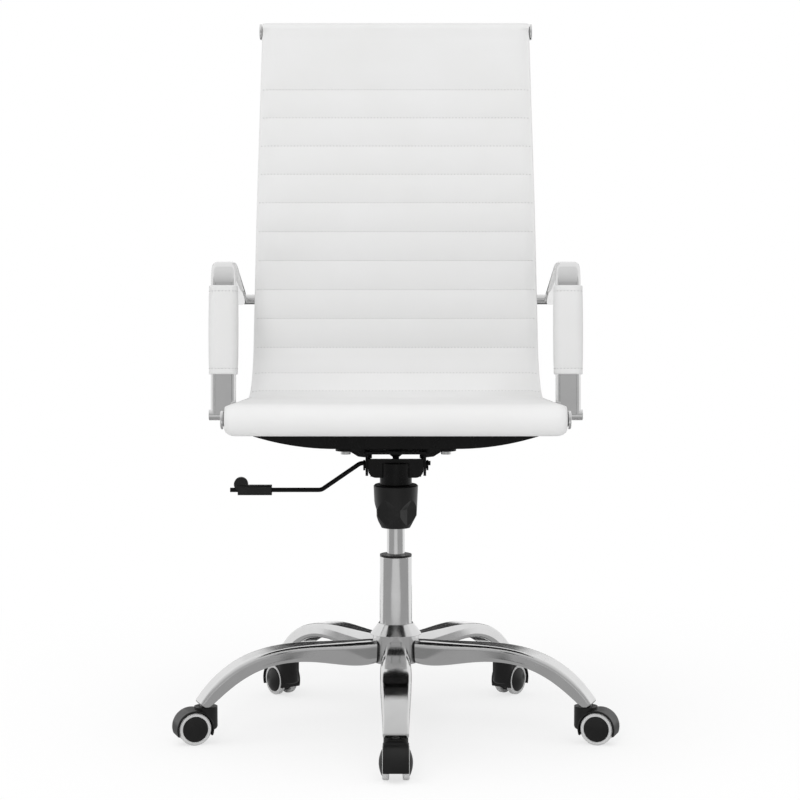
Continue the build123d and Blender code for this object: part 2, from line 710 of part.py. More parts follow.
def make_tension_bolt():
    """A long bolt from the knob up to a flared head just under the plate."""
    head_top = PLATE_Z - MOVE_GAP
    foot = BARREL_BOTTOM_Z - MOVE_GAP - KNOB_HEIGHT + KNOB_RECESS + RUN_OUT
    return Pos(0, KNOB_Y, 0) * turned([
        (0, foot),
        (TENSION_BOLT_RADIUS, foot),
        (TENSION_BOLT_RADIUS, head_top - TENSION_HEAD),
        (TENSION_HEAD_RADIUS, head_top - RUN_OUT),
        (TENSION_HEAD_RADIUS, head_top),
        (0, head_top),
    ])


def make_tension_knob():
    """A tapered knob with pointed grip flutes that widen towards its foot."""
    top = BARREL_BOTTOM_Z - MOVE_GAP
    foot = top - KNOB_HEIGHT
    waist = foot + KNOB_CHAMFER
    knob = turned([
        (0, foot),
        (KNOB_FOOT_RADIUS, foot),
        (KNOB_WAIST_RADIUS, waist),
        (KNOB_RADIUS, top - KNOB_ROUND),
        (KNOB_RADIUS - KNOB_ROUND, top),
        (0, top),
    ])
    knob -= round_bar(KNOB_RECESS_RADIUS, (0, 0, foot - RUN_OUT), (0, 0, foot + KNOB_RECESS))
    flute_top = top - KNOB_FLUTE_TOP
    lean = math.degrees(math.atan2(KNOB_FLUTE_DEPTH, KNOB_FLUTE_RUN))
    spread = KNOB_RADIUS * math.tan(math.radians(KNOB_FLUTE_ANGLE / 2))
    wedge_outline = Polyline((0, 0), (KNOB_RADIUS, -spread), (KNOB_RADIUS, spread), close=True)
    wedge = extrude(Face(Wire(wedge_outline.edges())), -2 * KNOB_HEIGHT)
    leaning = Pos(KNOB_RADIUS, 0, flute_top) * Rot(0, lean, 0) * wedge
    upright = Pos(KNOB_RADIUS - KNOB_FLUTE_DEPTH, 0, flute_top) * wedge
    flute = leaning & upright
    for i in range(KNOB_FLUTES):
        knob -= Rot(0, 0, KNOB_TURN + 360 / KNOB_FLUTES * i) * flute
    bore = TENSION_BOLT_RADIUS + RUN_FIT
    knob -= round_bar(bore, (0, 0, foot - RUN_OUT), (0, 0, top + RUN_OUT))
    return Pos(0, KNOB_Y, 0) * knob


# Height lever
def make_lever_bush():
    outer = -HOUSING_HALF_WIDTH - SEAT_GAP
    bush = round_bar(BUSH_RADIUS, (outer, 0, LEVER_Z), (outer + BUSH_LENGTH, 0, LEVER_Z))
    bush += round_bar(BUSH_FLANGE_RADIUS, (outer - BUSH_FLANGE, 0, LEVER_Z), (outer, 0, LEVER_Z))
    longest = max(outer + BUSH_LENGTH - LEVER_PIVOT_X, LEVER_PIVOT_X - outer + BUSH_FLANGE)
    slot_half = LEVER_RADIUS + RUN_FIT * 2
    slot_rise = slot_half + longest * LEVER_SLOPE
    bush -= box_between(
        (outer - BUSH_FLANGE - RUN_OUT, -slot_half, LEVER_Z - slot_rise),
        (outer + BUSH_LENGTH + RUN_OUT, slot_half, LEVER_Z + slot_rise),
    )
    return bush - lever_pin(BUSH_RADIUS + RUN_OUT, RUN_FIT)


def lever_pin(reach, extra):
    """The cross pin that the lever rocks on, along Y."""
    ends = [(LEVER_PIVOT_X, y, LEVER_Z) for y in (-reach, reach)]
    return round_bar(LEVER_PIN_RADIUS + extra, *ends)


def make_lever_pin():
    return lever_pin(math.sqrt(BUSH_RADIUS ** 2 - LEVER_PIN_RADIUS ** 2) - SEAT_GAP, 0)


def make_lever_rod():
    path = FilletPolyline(
        (LEVER_RIGHT_X, 0, LEVER_Z),
        (LEVER_KNEE_X, 0, LEVER_Z),
        (LEVER_ELBOW_X, 0, LEVER_LOW_Z),
        (LEVER_LEFT_X, 0, LEVER_LOW_Z),
        radius=LEVER_BEND_RADIUS,
    )
    section = Plane(origin=path @ 0, z_dir=path % 0) * Circle(LEVER_RADIUS)
    return sweep(section, path=path) - lever_pin(LEVER_RADIUS + RUN_OUT, RUN_FIT)


def make_lever_handle():
    """A moulded grip on the rod, with a round thumb tab that stands up near its end."""
    left = LEVER_LEFT_X + ROD_TIP
    right = left + HANDLE_LENGTH
    grip = box_between(
        (left, -HANDLE_WIDTH / 2, LEVER_LOW_Z - HANDLE_HEIGHT / 2),
        (right, HANDLE_WIDTH / 2, LEVER_LOW_Z + HANDLE_HEIGHT / 2),
    )
    grip = fillet(grip.edges().filter_by(Axis.X), HANDLE_ROUND)
    tab_x = left + TAB_SETBACK
    tab_z = LEVER_LOW_Z + TAB_RISE
    grip += round_bar(TAB_RADIUS, (tab_x, -TAB_THICKNESS / 2, tab_z), (tab_x, TAB_THICKNESS / 2, tab_z))
    ends = [(x, 0, LEVER_LOW_Z) for x in (left - TAB_RADIUS, right + RUN_OUT)]
    return grip - round_bar(LEVER_RADIUS + SEAT_GAP, *ends)


# Gas lift
def make_lift_cylinder():
    cylinder = round_bar(LIFT_RADIUS, (0, 0, LIFT_BOTTOM_Z), (0, 0, SOCKET_TOP_Z))
    rod_room = LIFT_ROD_TOP_Z + LIFT_TRAVEL + RUN_OUT
    cylinder -= round_bar(LIFT_ROD_RADIUS + RUN_FIT, (0, 0, LIFT_BOTTOM_Z - RUN_OUT), (0, 0, rod_room))
    valve_floor = VALVE_TOP_Z - VALVE_LENGTH - VALVE_STROKE - RUN_OUT
    cylinder -= round_bar(VALVE_RADIUS + RUN_FIT, (0, 0, valve_floor), (0, 0, SOCKET_TOP_Z + RUN_OUT))
    return cylinder


def make_valve_button():
    """A round button with a domed top for the lever to roll on."""
    button = round_bar(VALVE_RADIUS, (0, 0, VALVE_TOP_Z - VALVE_LENGTH), (0, 0, VALVE_TOP_Z))
    return button & Pos(0, 0, VALVE_TOP_Z - VALVE_DOME) * Sphere(VALVE_DOME)


def make_lift_rod():
    floor = COLUMN_BOTTOM_Z + COLUMN_FLOOR + SEAT_GAP + BEARING_HEIGHT + SEAT_GAP
    rod = round_bar(LIFT_ROD_RADIUS, (0, 0, COLUMN_BOTTOM_Z + RUN_OUT), (0, 0, LIFT_ROD_TOP_Z))
    return rod + round_bar(LIFT_ROD_RADIUS + LIFT_ROD_CLIP, (0, 0, floor), (0, 0, floor + LIFT_ROD_CLIP))


def make_thrust_bearing():
    floor = COLUMN_BOTTOM_Z + COLUMN_FLOOR + SEAT_GAP
    bore = LIFT_ROD_RADIUS + SEAT_GAP
    return turned([
        (bore, floor),
        (BEARING_RADIUS, floor),
        (BEARING_RADIUS, floor + BEARING_HEIGHT),
        (bore, floor + BEARING_HEIGHT),
    ])


def make_column_tube():
    """The outer column: a wide tube, a taper in the hub and a narrow neck down to its floor."""
    neck_bore = COLUMN_NECK_RADIUS - COLUMN_WALL
    bore = COLUMN_RADIUS - COLUMN_WALL
    rod_hole = LIFT_ROD_RADIUS + RUN_FIT
    step = HUB_BOTTOM_Z + COLUMN_WALL * 2
    return turned([
        (rod_hole, COLUMN_BOTTOM_Z),
        (COLUMN_NECK_RADIUS, COLUMN_BOTTOM_Z),
        (COLUMN_NECK_RADIUS, HUB_BOTTOM_Z - HUB_TAPER),
        (COLUMN_RADIUS - HUB_TAPER, HUB_BOTTOM_Z),
        (COLUMN_RADIUS, HUB_TOP_Z),
        (COLUMN_RADIUS, COLUMN_TOP_Z),
        (bore, COLUMN_TOP_Z),
        (bore, HUB_TOP_Z),
        (bore - HUB_TAPER, step),
        (neck_bore, step),
        (neck_bore, COLUMN_BOTTOM_Z + COLUMN_FLOOR),
        (rod_hole, COLUMN_BOTTOM_Z + COLUMN_FLOOR),
    ])


def make_column_liner():
    """The plastic guide in the column, with a flange that shows on top."""
    bore = LIFT_RADIUS + RUN_FIT
    outer = COLUMN_RADIUS - COLUMN_WALL - SEAT_GAP / 2
    flange_low = COLUMN_TOP_Z + SEAT_GAP / 2
    return turned([
        (bore, COLUMN_TOP_Z - LINER_LENGTH),
        (outer, COLUMN_TOP_Z - LINER_LENGTH),
        (outer, flange_low),
        (COLUMN_RADIUS - SEAT_GAP, flange_low),
        (COLUMN_RADIUS - SEAT_GAP, flange_low + LINER_FLANGE),
        (bore, flange_low + LINER_FLANGE),
    ])


# Five-star base
def make_base_hub():
    bore_low = COLUMN_RADIUS - HUB_TAPER + SEAT_GAP / 2
    bore_high = COLUMN_RADIUS + SEAT_GAP / 2
    return turned([
        (bore_low, HUB_BOTTOM_Z),
        (HUB_RADIUS, HUB_BOTTOM_Z),
        (HUB_RADIUS, HUB_COLLAR_Z),
        (HUB_COLLAR_RADIUS, HUB_COLLAR_Z),
        (bore_high + HUB_TAPER, HUB_TOP_Z),
        (bore_high, HUB_TOP_Z),
    ])


def make_leg():
    """A pressed leg along +X: tall at the hub, flat and wide in the middle, bent down to the caster."""
    bend = LEG_REACH - LEG_MID_REACH
    fall = LEG_MID_Z - LEG_END_Z
    mean_width = (LEG_ROOT_WIDTH + LEG_MID_WIDTH) / 2
    outer_width = (LEG_TIP_WIDTH + LEG_MID_WIDTH) / 2
    # Reach, height, width and depth of each section
    stations = [
        (HUB_RADIUS, LEG_ROOT_Z, LEG_ROOT_WIDTH, LEG_ROOT_HEIGHT),
        (LEG_MID_REACH * 0.55, (LEG_ROOT_Z + LEG_MID_Z) / 2, mean_width, LEG_ROOT_HEIGHT * 0.9),
        (LEG_MID_REACH, LEG_MID_Z, LEG_MID_WIDTH, LEG_MID_HEIGHT),
        (LEG_MID_REACH + bend * 0.40, LEG_MID_Z - fall * 0.17, LEG_MID_WIDTH, LEG_MID_HEIGHT),
        (LEG_MID_REACH + bend * 0.75, LEG_MID_Z - fall * 0.51, outer_width, LEG_MID_HEIGHT),
        (LEG_REACH + LEG_TIP_OVERRUN, LEG_END_Z, LEG_TIP_WIDTH, LEG_TIP_HEIGHT),
    ]
    sections = []
    for slope, (reach, z, width, height) in zip(LEG_SLOPES, stations):
        along = Vector(math.cos(math.radians(slope)), 0, math.sin(math.radians(slope)))
        plane = Plane(origin=(reach, 0, z), x_dir=(0, 1, 0), z_dir=along)
        sections.append(plane * RectangleRounded(width, height, height * LEG_ROUND))
    leg = loft(sections)
    leg = fillet(leg.faces().sort_by(Axis.X)[-1].edges(), LEG_TIP_ROUND)
    leg -= box_between((0, -LEG_MID_WIDTH, 0), (LEG_REACH * 2, LEG_MID_WIDTH, LEG_END_Z))
    leg -= round_bar(HUB_RADIUS + SEAT_GAP / 2, (0, 0, 0), (0, 0, HUB_TOP_Z))
    leg -= round_bar(HUB_COLLAR_RADIUS + SEAT_GAP, (0, 0, HUB_COLLAR_Z - SEAT_GAP), (0, 0, HUB_TOP_Z))
    stem_hole_top = (LEG_REACH, 0, STEM_TOP_Z + RUN_OUT)
    return leg - round_bar(STEM_RADIUS + SEAT_GAP / 2, (LEG_REACH, 0, 0), stem_hole_top)


# Casters, made at the end of a leg along +X
WHEEL_CENTRE_X = LEG_REACH + TRAIL


def make_stem():
    collar_low = HOOD_TOP_Z + MOVE_GAP
    stem = round_bar(STEM_RADIUS, (LEG_REACH, 0, STEM_BOTTOM_Z), (LEG_REACH, 0, STEM_TOP_Z))
    return stem + round_bar(
        STEM_COLLAR_RADIUS, (LEG_REACH, 0, collar_low), (LEG_REACH, 0, LEG_END_Z - SEAT_GAP)
    )


def make_hood():
    """The caster's cover: a boss round the stem, a web on the axle and a shell over both wheels."""
    centre = (WHEEL_CENTRE_X, WHEEL_RADIUS)

    def drum(radius, low_y, high_y):
        return round_bar(radius, (centre[0], low_y, centre[1]), (centre[0], high_y, centre[1]))

    shell = drum(HOOD_RADIUS, -HOOD_HALF_WIDTH, HOOD_HALF_WIDTH)
    rims = shell.edges().filter_by(GeomType.CIRCLE)
    shell = fillet(rims, HOOD_ROUND)
    boss = round_bar(HOOD_BOSS_RADIUS, (LEG_REACH, 0, HOOD_BOSS_LOW_Z), (LEG_REACH, 0, HOOD_TOP_Z))
    low_rim = boss.edges().filter_by(GeomType.CIRCLE).sort_by(Axis.Z)[0]
    shell += fillet(low_rim, HOOD_BOSS_ROUND)
    low = (LEG_REACH - HOOD_RADIUS, -HOOD_RADIUS, -HOOD_RADIUS)
    shell -= box_between(low, (WHEEL_CENTRE_X + 2 * HOOD_RADIUS, HOOD_RADIUS, HOOD_SKIRT_Z))
    for side in (-1, 1):
        inner = side * (WHEEL_INNER - MOVE_GAP)
        shell -= drum(WHEEL_RADIUS + HOOD_WHEEL_GAP, inner, side * WHEEL_RADIUS)
    shell -= drum(AXLE_RADIUS + SEAT_GAP / 2, -HOOD_HALF_WIDTH, HOOD_HALF_WIDTH)
    top = (LEG_REACH, 0, HOOD_TOP_Z + RUN_OUT)
    shell -= round_bar(STEM_RADIUS + RUN_FIT, (LEG_REACH, 0, STEM_BOTTOM_Z - MOVE_GAP), top)
    return shell


def make_axle():
    reach = WHEEL_INNER + WHEEL_WIDTH * AXLE_DEPTH
    return round_bar(
        AXLE_RADIUS, (WHEEL_CENTRE_X, -reach, WHEEL_RADIUS), (WHEEL_CENTRE_X, reach, WHEEL_RADIUS)
    )


def make_wheel(side):
    """A disc with a domed face, blind-bored for the axle, and the tread moulded round it."""
    axle_end = WHEEL_WIDTH * AXLE_DEPTH + SEAT_GAP
    bore = AXLE_RADIUS + RUN_FIT
    face = WHEEL_WIDTH - WHEEL_DOME
    disc = turned([
        (bore, 0),
        (RIM_RADIUS, 0),
        (RIM_RADIUS, WHEEL_WIDTH),
        (0, WHEEL_WIDTH),
        (0, axle_end),
        (bore, axle_end),
    ])
    dome = (RIM_RADIUS ** 2 + WHEEL_DOME ** 2) / (2 * WHEEL_DOME)
    disc = disc & Pos(0, 0, WHEEL_WIDTH - dome) * Sphere(dome)
    tread = turned([
        (RIM_RADIUS + RUN_FIT, 0),
        (WHEEL_RADIUS - TREAD_SHOULDER / 2, 0),
        (WHEEL_RADIUS, TREAD_SHOULDER / 2),
        (WHEEL_RADIUS, face - TREAD_SHOULDER),
        (WHEEL_RADIUS - TREAD_SHOULDER, face),
        (RIM_RADIUS + RUN_FIT, face),
    ])
    place = Pos(WHEEL_CENTRE_X, side * WHEEL_INNER, WHEEL_RADIUS) * Rot(-90 * side, 0, 0)
    return [place * disc, place * tread]


# The whole chair
def make_nodes():
    nodes = {}
    tube_spaces = [cross_tube(centre, SEAT_GAP) for centre in (FRONT_ROLL, TOP_ROLL)]
    rail_spaces = [
        rail_sweep(side, RAIL_DEPTH + 2 * SOFT_GAP, RAIL_THICKNESS + 2 * SOFT_GAP) for side in (-1, 1)
    ]
    nodes["sling"] = [make_sling(rail_spaces)]
    nodes["top_cross_tube"] = [make_cross_tube(TOP_ROLL)]
    nodes["front_cross_tube"] = [make_cross_tube(FRONT_ROLL)]
    nodes["tube_end_caps"] = [
        make_cap(centre, side) for centre in (FRONT_ROLL, TOP_ROLL) for side in (-1, 1)
    ]
    for side, name in ((-1, "left"), (1, "right")):
        nodes["side_rail_" + name] = [make_rail(side, tube_spaces, arm_bolt_spaces(side))]
        nodes["arm_" + name] = [make_arm(side)]
        nodes["arm_sleeve_" + name] = [make_sleeve(side)]
    nodes["arm_bolts"] = make_arm_bolts()
    nodes["back_brace"] = [make_back_brace()]
    nodes["seat_bar_front"] = [make_seat_bar(-BAR_SPACING / 2)]
    nodes["seat_bar_rear"] = [make_seat_bar(BAR_SPACING / 2)]
    nodes["tilt_plate"] = [make_tilt_plate()]
    nodes["plate_bolts"] = make_plate_bolts()

    nodes["tilt_housing"] = [make_tilt_housing()]
    nodes["tilt_pivot_pin"] = [make_pivot_pin()]
    nodes["spring_barrel"] = [make_spring_barrel()]
    nodes["tension_spring"] = [make_tension_spring()]
    nodes["tension_bolt"] = [make_tension_bolt()]
    nodes["tension_knob"] = [make_tension_knob()]
    nodes["lever_bush"] = [make_lever_bush()]
    nodes["lever_pin"] = [make_lever_pin()]
    nodes["lever_rod"] = [make_lever_rod()]
    nodes["lever_handle"] = [make_lever_handle()]

    nodes["lift_cylinder"] = [make_lift_cylinder()]
    nodes["valve_button"] = [make_valve_button()]
    nodes["lift_rod"] = [make_lift_rod()]
    nodes["thrust_bearing"] = [make_thrust_bearing()]
    nodes["column_tube"] = [make_column_tube()]
    nodes["column_liner"] = [make_column_liner()]
    nodes["base_hub"] = [make_base_hub()]

    leg = make_leg()
    stem = make_stem()
    hood = make_hood()
    axle = make_axle()
    wheels = {"left": make_wheel(-1), "right": make_wheel(1)}
    nodes["caster_stems"] = []
    for i in range(LEG_COUNT):
        turn = Rot(0, 0, -90 + i * 360 / LEG_COUNT)
        number = str(i + 1)
        nodes["base_leg_" + number] = [turn * leg]
        nodes["caster_stems"].append(turn * stem)
        nodes["caster_hood_" + number] = [turn * hood]
        nodes["caster_axle_" + number] = [turn * axle]
        for name, solids in wheels.items():
            nodes["caster_wheel_" + name + "_" + number] = [turn * solid for solid in solids]
    return nodes


os.makedirs("parts", exist_ok=True)
for node, solids in make_nodes().items():
    shape = solids[0] if len(solids) == 1 else Compound(children=solids)
    export_step(shape, "parts/" + node + ".step")
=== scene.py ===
"""Looks of the white swivel office chair: soft covers, stitching, wheels, finishes, studio and camera.

Everything is in metres, in the frame of the CAD part: X to the sitter's left, -Y to the front, Z up.
Left and right in names are as seen from the front, so left is -X.
"""

import math

import bmesh
import bpy
from mathutils import Matrix, Vector

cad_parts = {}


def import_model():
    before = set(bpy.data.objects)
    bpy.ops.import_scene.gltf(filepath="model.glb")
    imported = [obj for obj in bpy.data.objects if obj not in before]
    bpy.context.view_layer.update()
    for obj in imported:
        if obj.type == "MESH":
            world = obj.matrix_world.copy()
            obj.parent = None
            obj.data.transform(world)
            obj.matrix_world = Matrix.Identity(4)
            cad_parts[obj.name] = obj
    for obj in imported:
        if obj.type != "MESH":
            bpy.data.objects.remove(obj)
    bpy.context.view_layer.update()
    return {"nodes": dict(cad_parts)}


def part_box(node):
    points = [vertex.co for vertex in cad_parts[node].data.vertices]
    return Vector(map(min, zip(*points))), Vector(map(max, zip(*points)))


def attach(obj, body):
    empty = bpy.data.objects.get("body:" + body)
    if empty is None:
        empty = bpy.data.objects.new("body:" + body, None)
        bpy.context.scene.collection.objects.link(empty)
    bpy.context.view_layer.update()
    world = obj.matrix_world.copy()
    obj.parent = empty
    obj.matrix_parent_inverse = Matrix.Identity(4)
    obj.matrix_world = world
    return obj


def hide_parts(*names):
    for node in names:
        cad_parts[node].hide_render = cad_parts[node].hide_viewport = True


MM = 0.001
SIDEWAYS = Vector((1.0, 0.0, 0.0))
UP = (0, 0, 1)
DOWN = (0, 0, -1)

# The sling's middle line in (y, z), front edge to top edge, with its rounded corners
LINE_CORNERS = [(-0.232, 0.528), (0.228, 0.501), (0.26218, 0.801), (0.33125, 1.105)]
LINE_RADII = [0.090, 0.700]
HALF_WIDTH_FRONT = 0.250
HALF_WIDTH_PER_Y = -0.03148
HALF_WIDTH_PER_Z = -0.01780

# The sling's padding: half thickness on a rib and in a seam, and how the sides draw in
RIB_HALF = 7.0 * MM
SEAM_HALF = 5.2 * MM
EDGE_HALF = 3.0 * MM
EDGE_DRAW = 16.0 * MM
EDGE_ROUND = 2.0 * MM
RIB_FULLNESS = 2.6

# The plain panels at the top and the front, the ribs between them, and the seat's sag
HEAD_PANEL = 102.0 * MM
FRONT_PANEL = 81.0 * MM
RIB_COUNT = 18
SEAT_SAG = 4.0 * MM

# The filling of the covers: cloth pressure, and the furthest that it moves a point
SLING_PRESSURE = 4.0
SLING_PUFF = 0.8 * MM
SLEEVE_PRESSURE = 2.0
SLEEVE_PUFF = 0.5 * MM
SIMULATED_FRAMES = 20

# The rolls round the front and the top cross tube
FRONT_ROLL = {"radius": 24.0 * MM, "out": -17.0 * MM}
TOP_ROLL = {"radius": 15.0 * MM, "out": -8.0 * MM}
ROLL_STEPS = 26
ROLL_END_RADIUS = 13.5 * MM
ROLL_END_ROUND = 16.0 * MM
ROLL_CLEARANCE = 2.0 * MM

# Painted shade under the seat, a near-black tone on faces that look down: where it starts, how far down a
# face must look to take it, and its tone
PAINTED_SHADE_START_Y = -0.205
PAINTED_SHADE_FACING = -0.6
PAINTED_SHADE_TONE = 0.02

# Stitches: their spacing, length and radius, and the share of the length between the rounded ends
STITCH_PITCH = 5.4 * MM
STITCH_LENGTH = 2.8 * MM
STITCH_RADIUS = 0.5 * MM
STITCH_STRAIGHT = 0.64
STITCH_SIDES = 6

# The arm sleeves, on the straight front leg of each arm, and the share of their wall left in a hem's seam
ARM_X = 0.26503
ARM_KNEE = Vector((-0.012, 0.731))
ARM_FRONT = Vector((-0.040, 0.49930))
SLEEVE_TOP_Z = 0.697
SLEEVE_LOW_Z = 0.561
ARM_SECTION = (39.0 * MM, 18.0 * MM)
SLEEVE_WALL = 3.0 * MM
SLEEVE_CROWN = 0.7 * MM
HEM_LENGTH = 9.0 * MM
HEM_SEAM = 0.86

# Wheels
WHEEL_RADIUS = 25.0 * MM
WHEEL_WIDTH = 15.0 * MM
DISC_RADIUS = 19.5 * MM
DISC_DOME = 4.7 * MM
TREAD_WIDTH = 10.0 * MM
CASTER_COUNT = 5
WHEEL_SEGMENTS = 56

# Camera, from the places of the casters in the photo
CAMERA_DISTANCE = 3.79
CAMERA_HEIGHT = 0.871
CAMERA_TILT = math.radians(5.313)
CAMERA_FOCAL_PX = 2452.0
PHOTO_PX = 800.0
AXIS_PX = 395.8
SENSOR_MM = 36.0

# The room that the chrome mirrors: its width and height, and where its front wall stands
ROOM_WIDTH = 6.4
ROOM_HEIGHT = 3.0
ROOM_FRONT_Y = -5.6

# Tones of the room, from 0 for black to 1 for white
WALL_TONE = 0.50
CEILING_TONE = 0.50
CEILING_REAR_TONE = 0.86
FLOOR_TONE = 0.42
FLOOR_STRIP_TONE = 0.75
SIDE_TONE = 0.55
CORNER_TONE = 0.05
REAR_TONE = 0.03

# Light: the strength of the surround, then the overhead sun in W/m2 and the key lamp in W
SURROUND_LIGHT = 0.66
OVERHEAD_LIGHT = 1.2
OVERHEAD_SPREAD = math.radians(70)
OVERHEAD_TURN = (math.radians(20), math.radians(-6), 0.0)
KEY_LIGHT = 32.0
KEY_SIZE = (0.5, 1.1)
KEY_PLACE = Vector((-0.7, -4.3, 1.7))
KEY_TARGET = Vector((0.0, 0.0, 0.6))

# The floor: how white it is to the eye at the chair, and from where to where it turns plain white
FLOOR_WHITE_SHARE = 0.70
FLOOR_SHADOW_REACH = (0.45, 1.3)
FLOOR_SIZE = 60.0
FLOOR_DROP = 0.5 * MM

# The middle of a pattern's range, which a finish is spread over, and the samples of a rounded edge
PATTERN_MIDDLE = (0.3, 0.7)
ROUNDING_SAMPLES = 4


# Materials

def start_material(name):
    """A new node material: its node tree and its main shader."""
    material = bpy.data.materials.new(name)
    material.use_nodes = True
    tree = material.node_tree
    return material, tree, tree.nodes["Principled BSDF"]


def grey(tone):
    """A colour without a hue."""
    return tone, tone, tone


def noise_of(tree, scale, detail=3.0):
    """A noise pattern fixed to the piece."""
    place = tree.nodes.new("ShaderNodeTexCoord")
    noise = tree.nodes.new("ShaderNodeTexNoise")
    noise.inputs["Scale"].default_value = scale
    noise.inputs["Detail"].default_value = detail
    tree.links.new(place.outputs["Object"], noise.inputs["Vector"])
    return noise.outputs["Fac"]


def cells_of(tree, scale):
    """A cell pattern fixed to the piece, as in leather grain."""
    place = tree.nodes.new("ShaderNodeTexCoord")
    cells = tree.nodes.new("ShaderNodeTexVoronoi")
    cells.feature = "SMOOTH_F1"
    cells.inputs["Scale"].default_value = scale
    tree.links.new(place.outputs["Object"], cells.inputs["Vector"])
    return cells.outputs["Distance"]


def stretched(tree, value, source, target):
    """A value mapped from its source span to a target span."""
    stretch = tree.nodes.new("ShaderNodeMapRange")
    ends = ("From Min", "From Max", "To Min", "To Max")
    for end, number in zip(ends, (*source, *target)):
        stretch.inputs[end].default_value = number
    tree.links.new(value, stretch.inputs["Value"])
    return stretch.outputs["Result"]


def calculated(tree, operation, first, second):
    """A value worked out from a value and either another value or a number."""
    node = tree.nodes.new("ShaderNodeMath")
    node.operation = operation
    tree.links.new(first, node.inputs[0])
    if isinstance(second, float):
        node.inputs[1].default_value = second
    else:
        tree.links.new(second, node.inputs[1])
    return node.outputs["Value"]


def roughen_with(tree, value, span, shader):
    """Lets a pattern vary the roughness over a span."""
    tree.links.new(stretched(tree, value, PATTERN_MIDDLE, span), shader.inputs["Roughness"])


def tint_with(tree, value, dark, light, socket):
    """Feeds a pattern, as a blend of two colours, into a socket."""
    ramp = tree.nodes.new("ShaderNodeValToRGB")
    for element, position, colour in zip(ramp.color_ramp.elements, PATTERN_MIDDLE, (dark, light)):
        element.position = position
        element.color = (*colour, 1.0)
    tree.links.new(value, ramp.inputs["Fac"])
    tree.links.new(ramp.outputs["Color"], socket)


def bump_with(tree, value, shader, strength, depth, edge_round=0.0):
    """Raises the surface by a pattern, and softens sharp edges where a rounding is given."""
    bump = tree.nodes.new("ShaderNodeBump")
    bump.inputs["Strength"].default_value = strength
    bump.inputs["Distance"].default_value = depth
    tree.links.new(value, bump.inputs["Height"])
    tree.links.new(bump.outputs["Normal"], shader.inputs["Normal"])
    if edge_round:
        rounding = tree.nodes.new("ShaderNodeBevel")
        rounding.samples = ROUNDING_SAMPLES
        rounding.inputs["Radius"].default_value = edge_round
        tree.links.new(rounding.outputs["Normal"], bump.inputs["Normal"])


def painted_underside_shade_mask(tree):
    """1 on the seat's underside behind the front roll, where the shade is painted, 0 elsewhere."""
    place = tree.nodes.new("ShaderNodeTexCoord")
    spot = tree.nodes.new("ShaderNodeSeparateXYZ")
    facing = tree.nodes.new("ShaderNodeSeparateXYZ")
    tree.links.new(place.outputs["Object"], spot.inputs["Vector"])
    tree.links.new(place.outputs["Normal"], facing.inputs["Vector"])
    behind_roll = calculated(tree, "GREATER_THAN", spot.outputs["Y"], PAINTED_SHADE_START_Y)
    downward = calculated(tree, "LESS_THAN", facing.outputs["Z"], PAINTED_SHADE_FACING)
    return calculated(tree, "MULTIPLY", behind_roll, downward)


def leatherette(name, tone, underside_shade_painted=False):
    """Matt white coated cloth with a fine pressed grain; if asked, near-black painted shade on the faces that
    look down under the seat.
    """
    material, tree, shader = start_material(name)
    dark = (tone * 0.975, tone * 0.975, tone * 0.97)
    colour = shader.inputs["Base Color"]
    # Painted shade: downward faces under the seat take a near-black tone in place of the white.
    if underside_shade_painted:
        blend = tree.nodes.new("ShaderNodeMix")
        blend.data_type = "RGBA"
        tree.links.new(painted_underside_shade_mask(tree), blend.inputs["Factor"])
        blend.inputs["B"].default_value = (*grey(PAINTED_SHADE_TONE), 1.0)
        tree.links.new(blend.outputs["Result"], colour)
        colour = blend.inputs["A"]
    tint_with(tree, noise_of(tree, scale=9.0), dark, grey(tone), colour)
    roughen_with(tree, noise_of(tree, scale=60.0), (0.50, 0.62), shader)
    bump_with(tree, cells_of(tree, scale=620.0), shader, strength=0.25, depth=0.25 * MM)
    shader.inputs["Specular IOR Level"].default_value = 0.35
    return material


def thread(name, tone):
    """Twisted sewing thread."""
    material, tree, shader = start_material(name)
    tint_with(tree, noise_of(tree, scale=900.0), grey(tone * 0.8), grey(tone), shader.inputs["Base Color"])
    roughen_with(tree, noise_of(tree, scale=500.0), (0.6, 0.8), shader)
    bump_with(tree, noise_of(tree, scale=1800.0), shader, strength=0.4, depth=0.2 * MM)
    return material


def polished_metal(name, tone, roughness, wave=0.05):
    """Plated or ground metal with faint polishing marks."""
    material, tree, shader = start_material(name)
    shader.inputs["Metallic"].default_value = 1.0
    tint_with(tree, noise_of(tree, scale=30.0), grey(tone * 0.95), grey(tone), shader.inputs["Base Color"])
    roughen_with(tree, noise_of(tree, scale=45.0, detail=5.0), roughness, shader)
    bump_with(tree, noise_of(tree, scale=22.0), shader, strength=wave, depth=0.4 * MM, edge_round=1.5 * MM)
    return material


def dark_coat(name, tone, shine, roughness, grain):
    """Black plastic or dipped steel with a fine texture."""
    material, tree, shader = start_material(name)
    shader.inputs["Specular IOR Level"].default_value = shine
    patches = noise_of(tree, scale=40.0)
    tint_with(tree, patches, grey(tone * 0.8), grey(tone * 1.2), shader.inputs["Base Color"])
    roughen_with(tree, noise_of(tree, scale=90.0), roughness, shader)
    texture = noise_of(tree, scale=grain, detail=2.0)
    bump_with(tree, texture, shader, strength=0.3, depth=0.01 * MM, edge_round=1.0 * MM)
    return material


def tread_plastic(name, tone):
    """Soft pale wheel tread with light scuffs."""
    material, tree, shader = start_material(name)
    scuffs = noise_of(tree, scale=55.0, detail=5.0)
    tint_with(tree, scuffs, grey(tone * 0.95), grey(tone), shader.inputs["Base Color"])
    roughen_with(tree, noise_of(tree, scale=120.0), (0.42, 0.6), shader)
    bump_with(tree, noise_of(tree, scale=1500.0), shader, strength=0.2, depth=0.05 * MM)
    return material


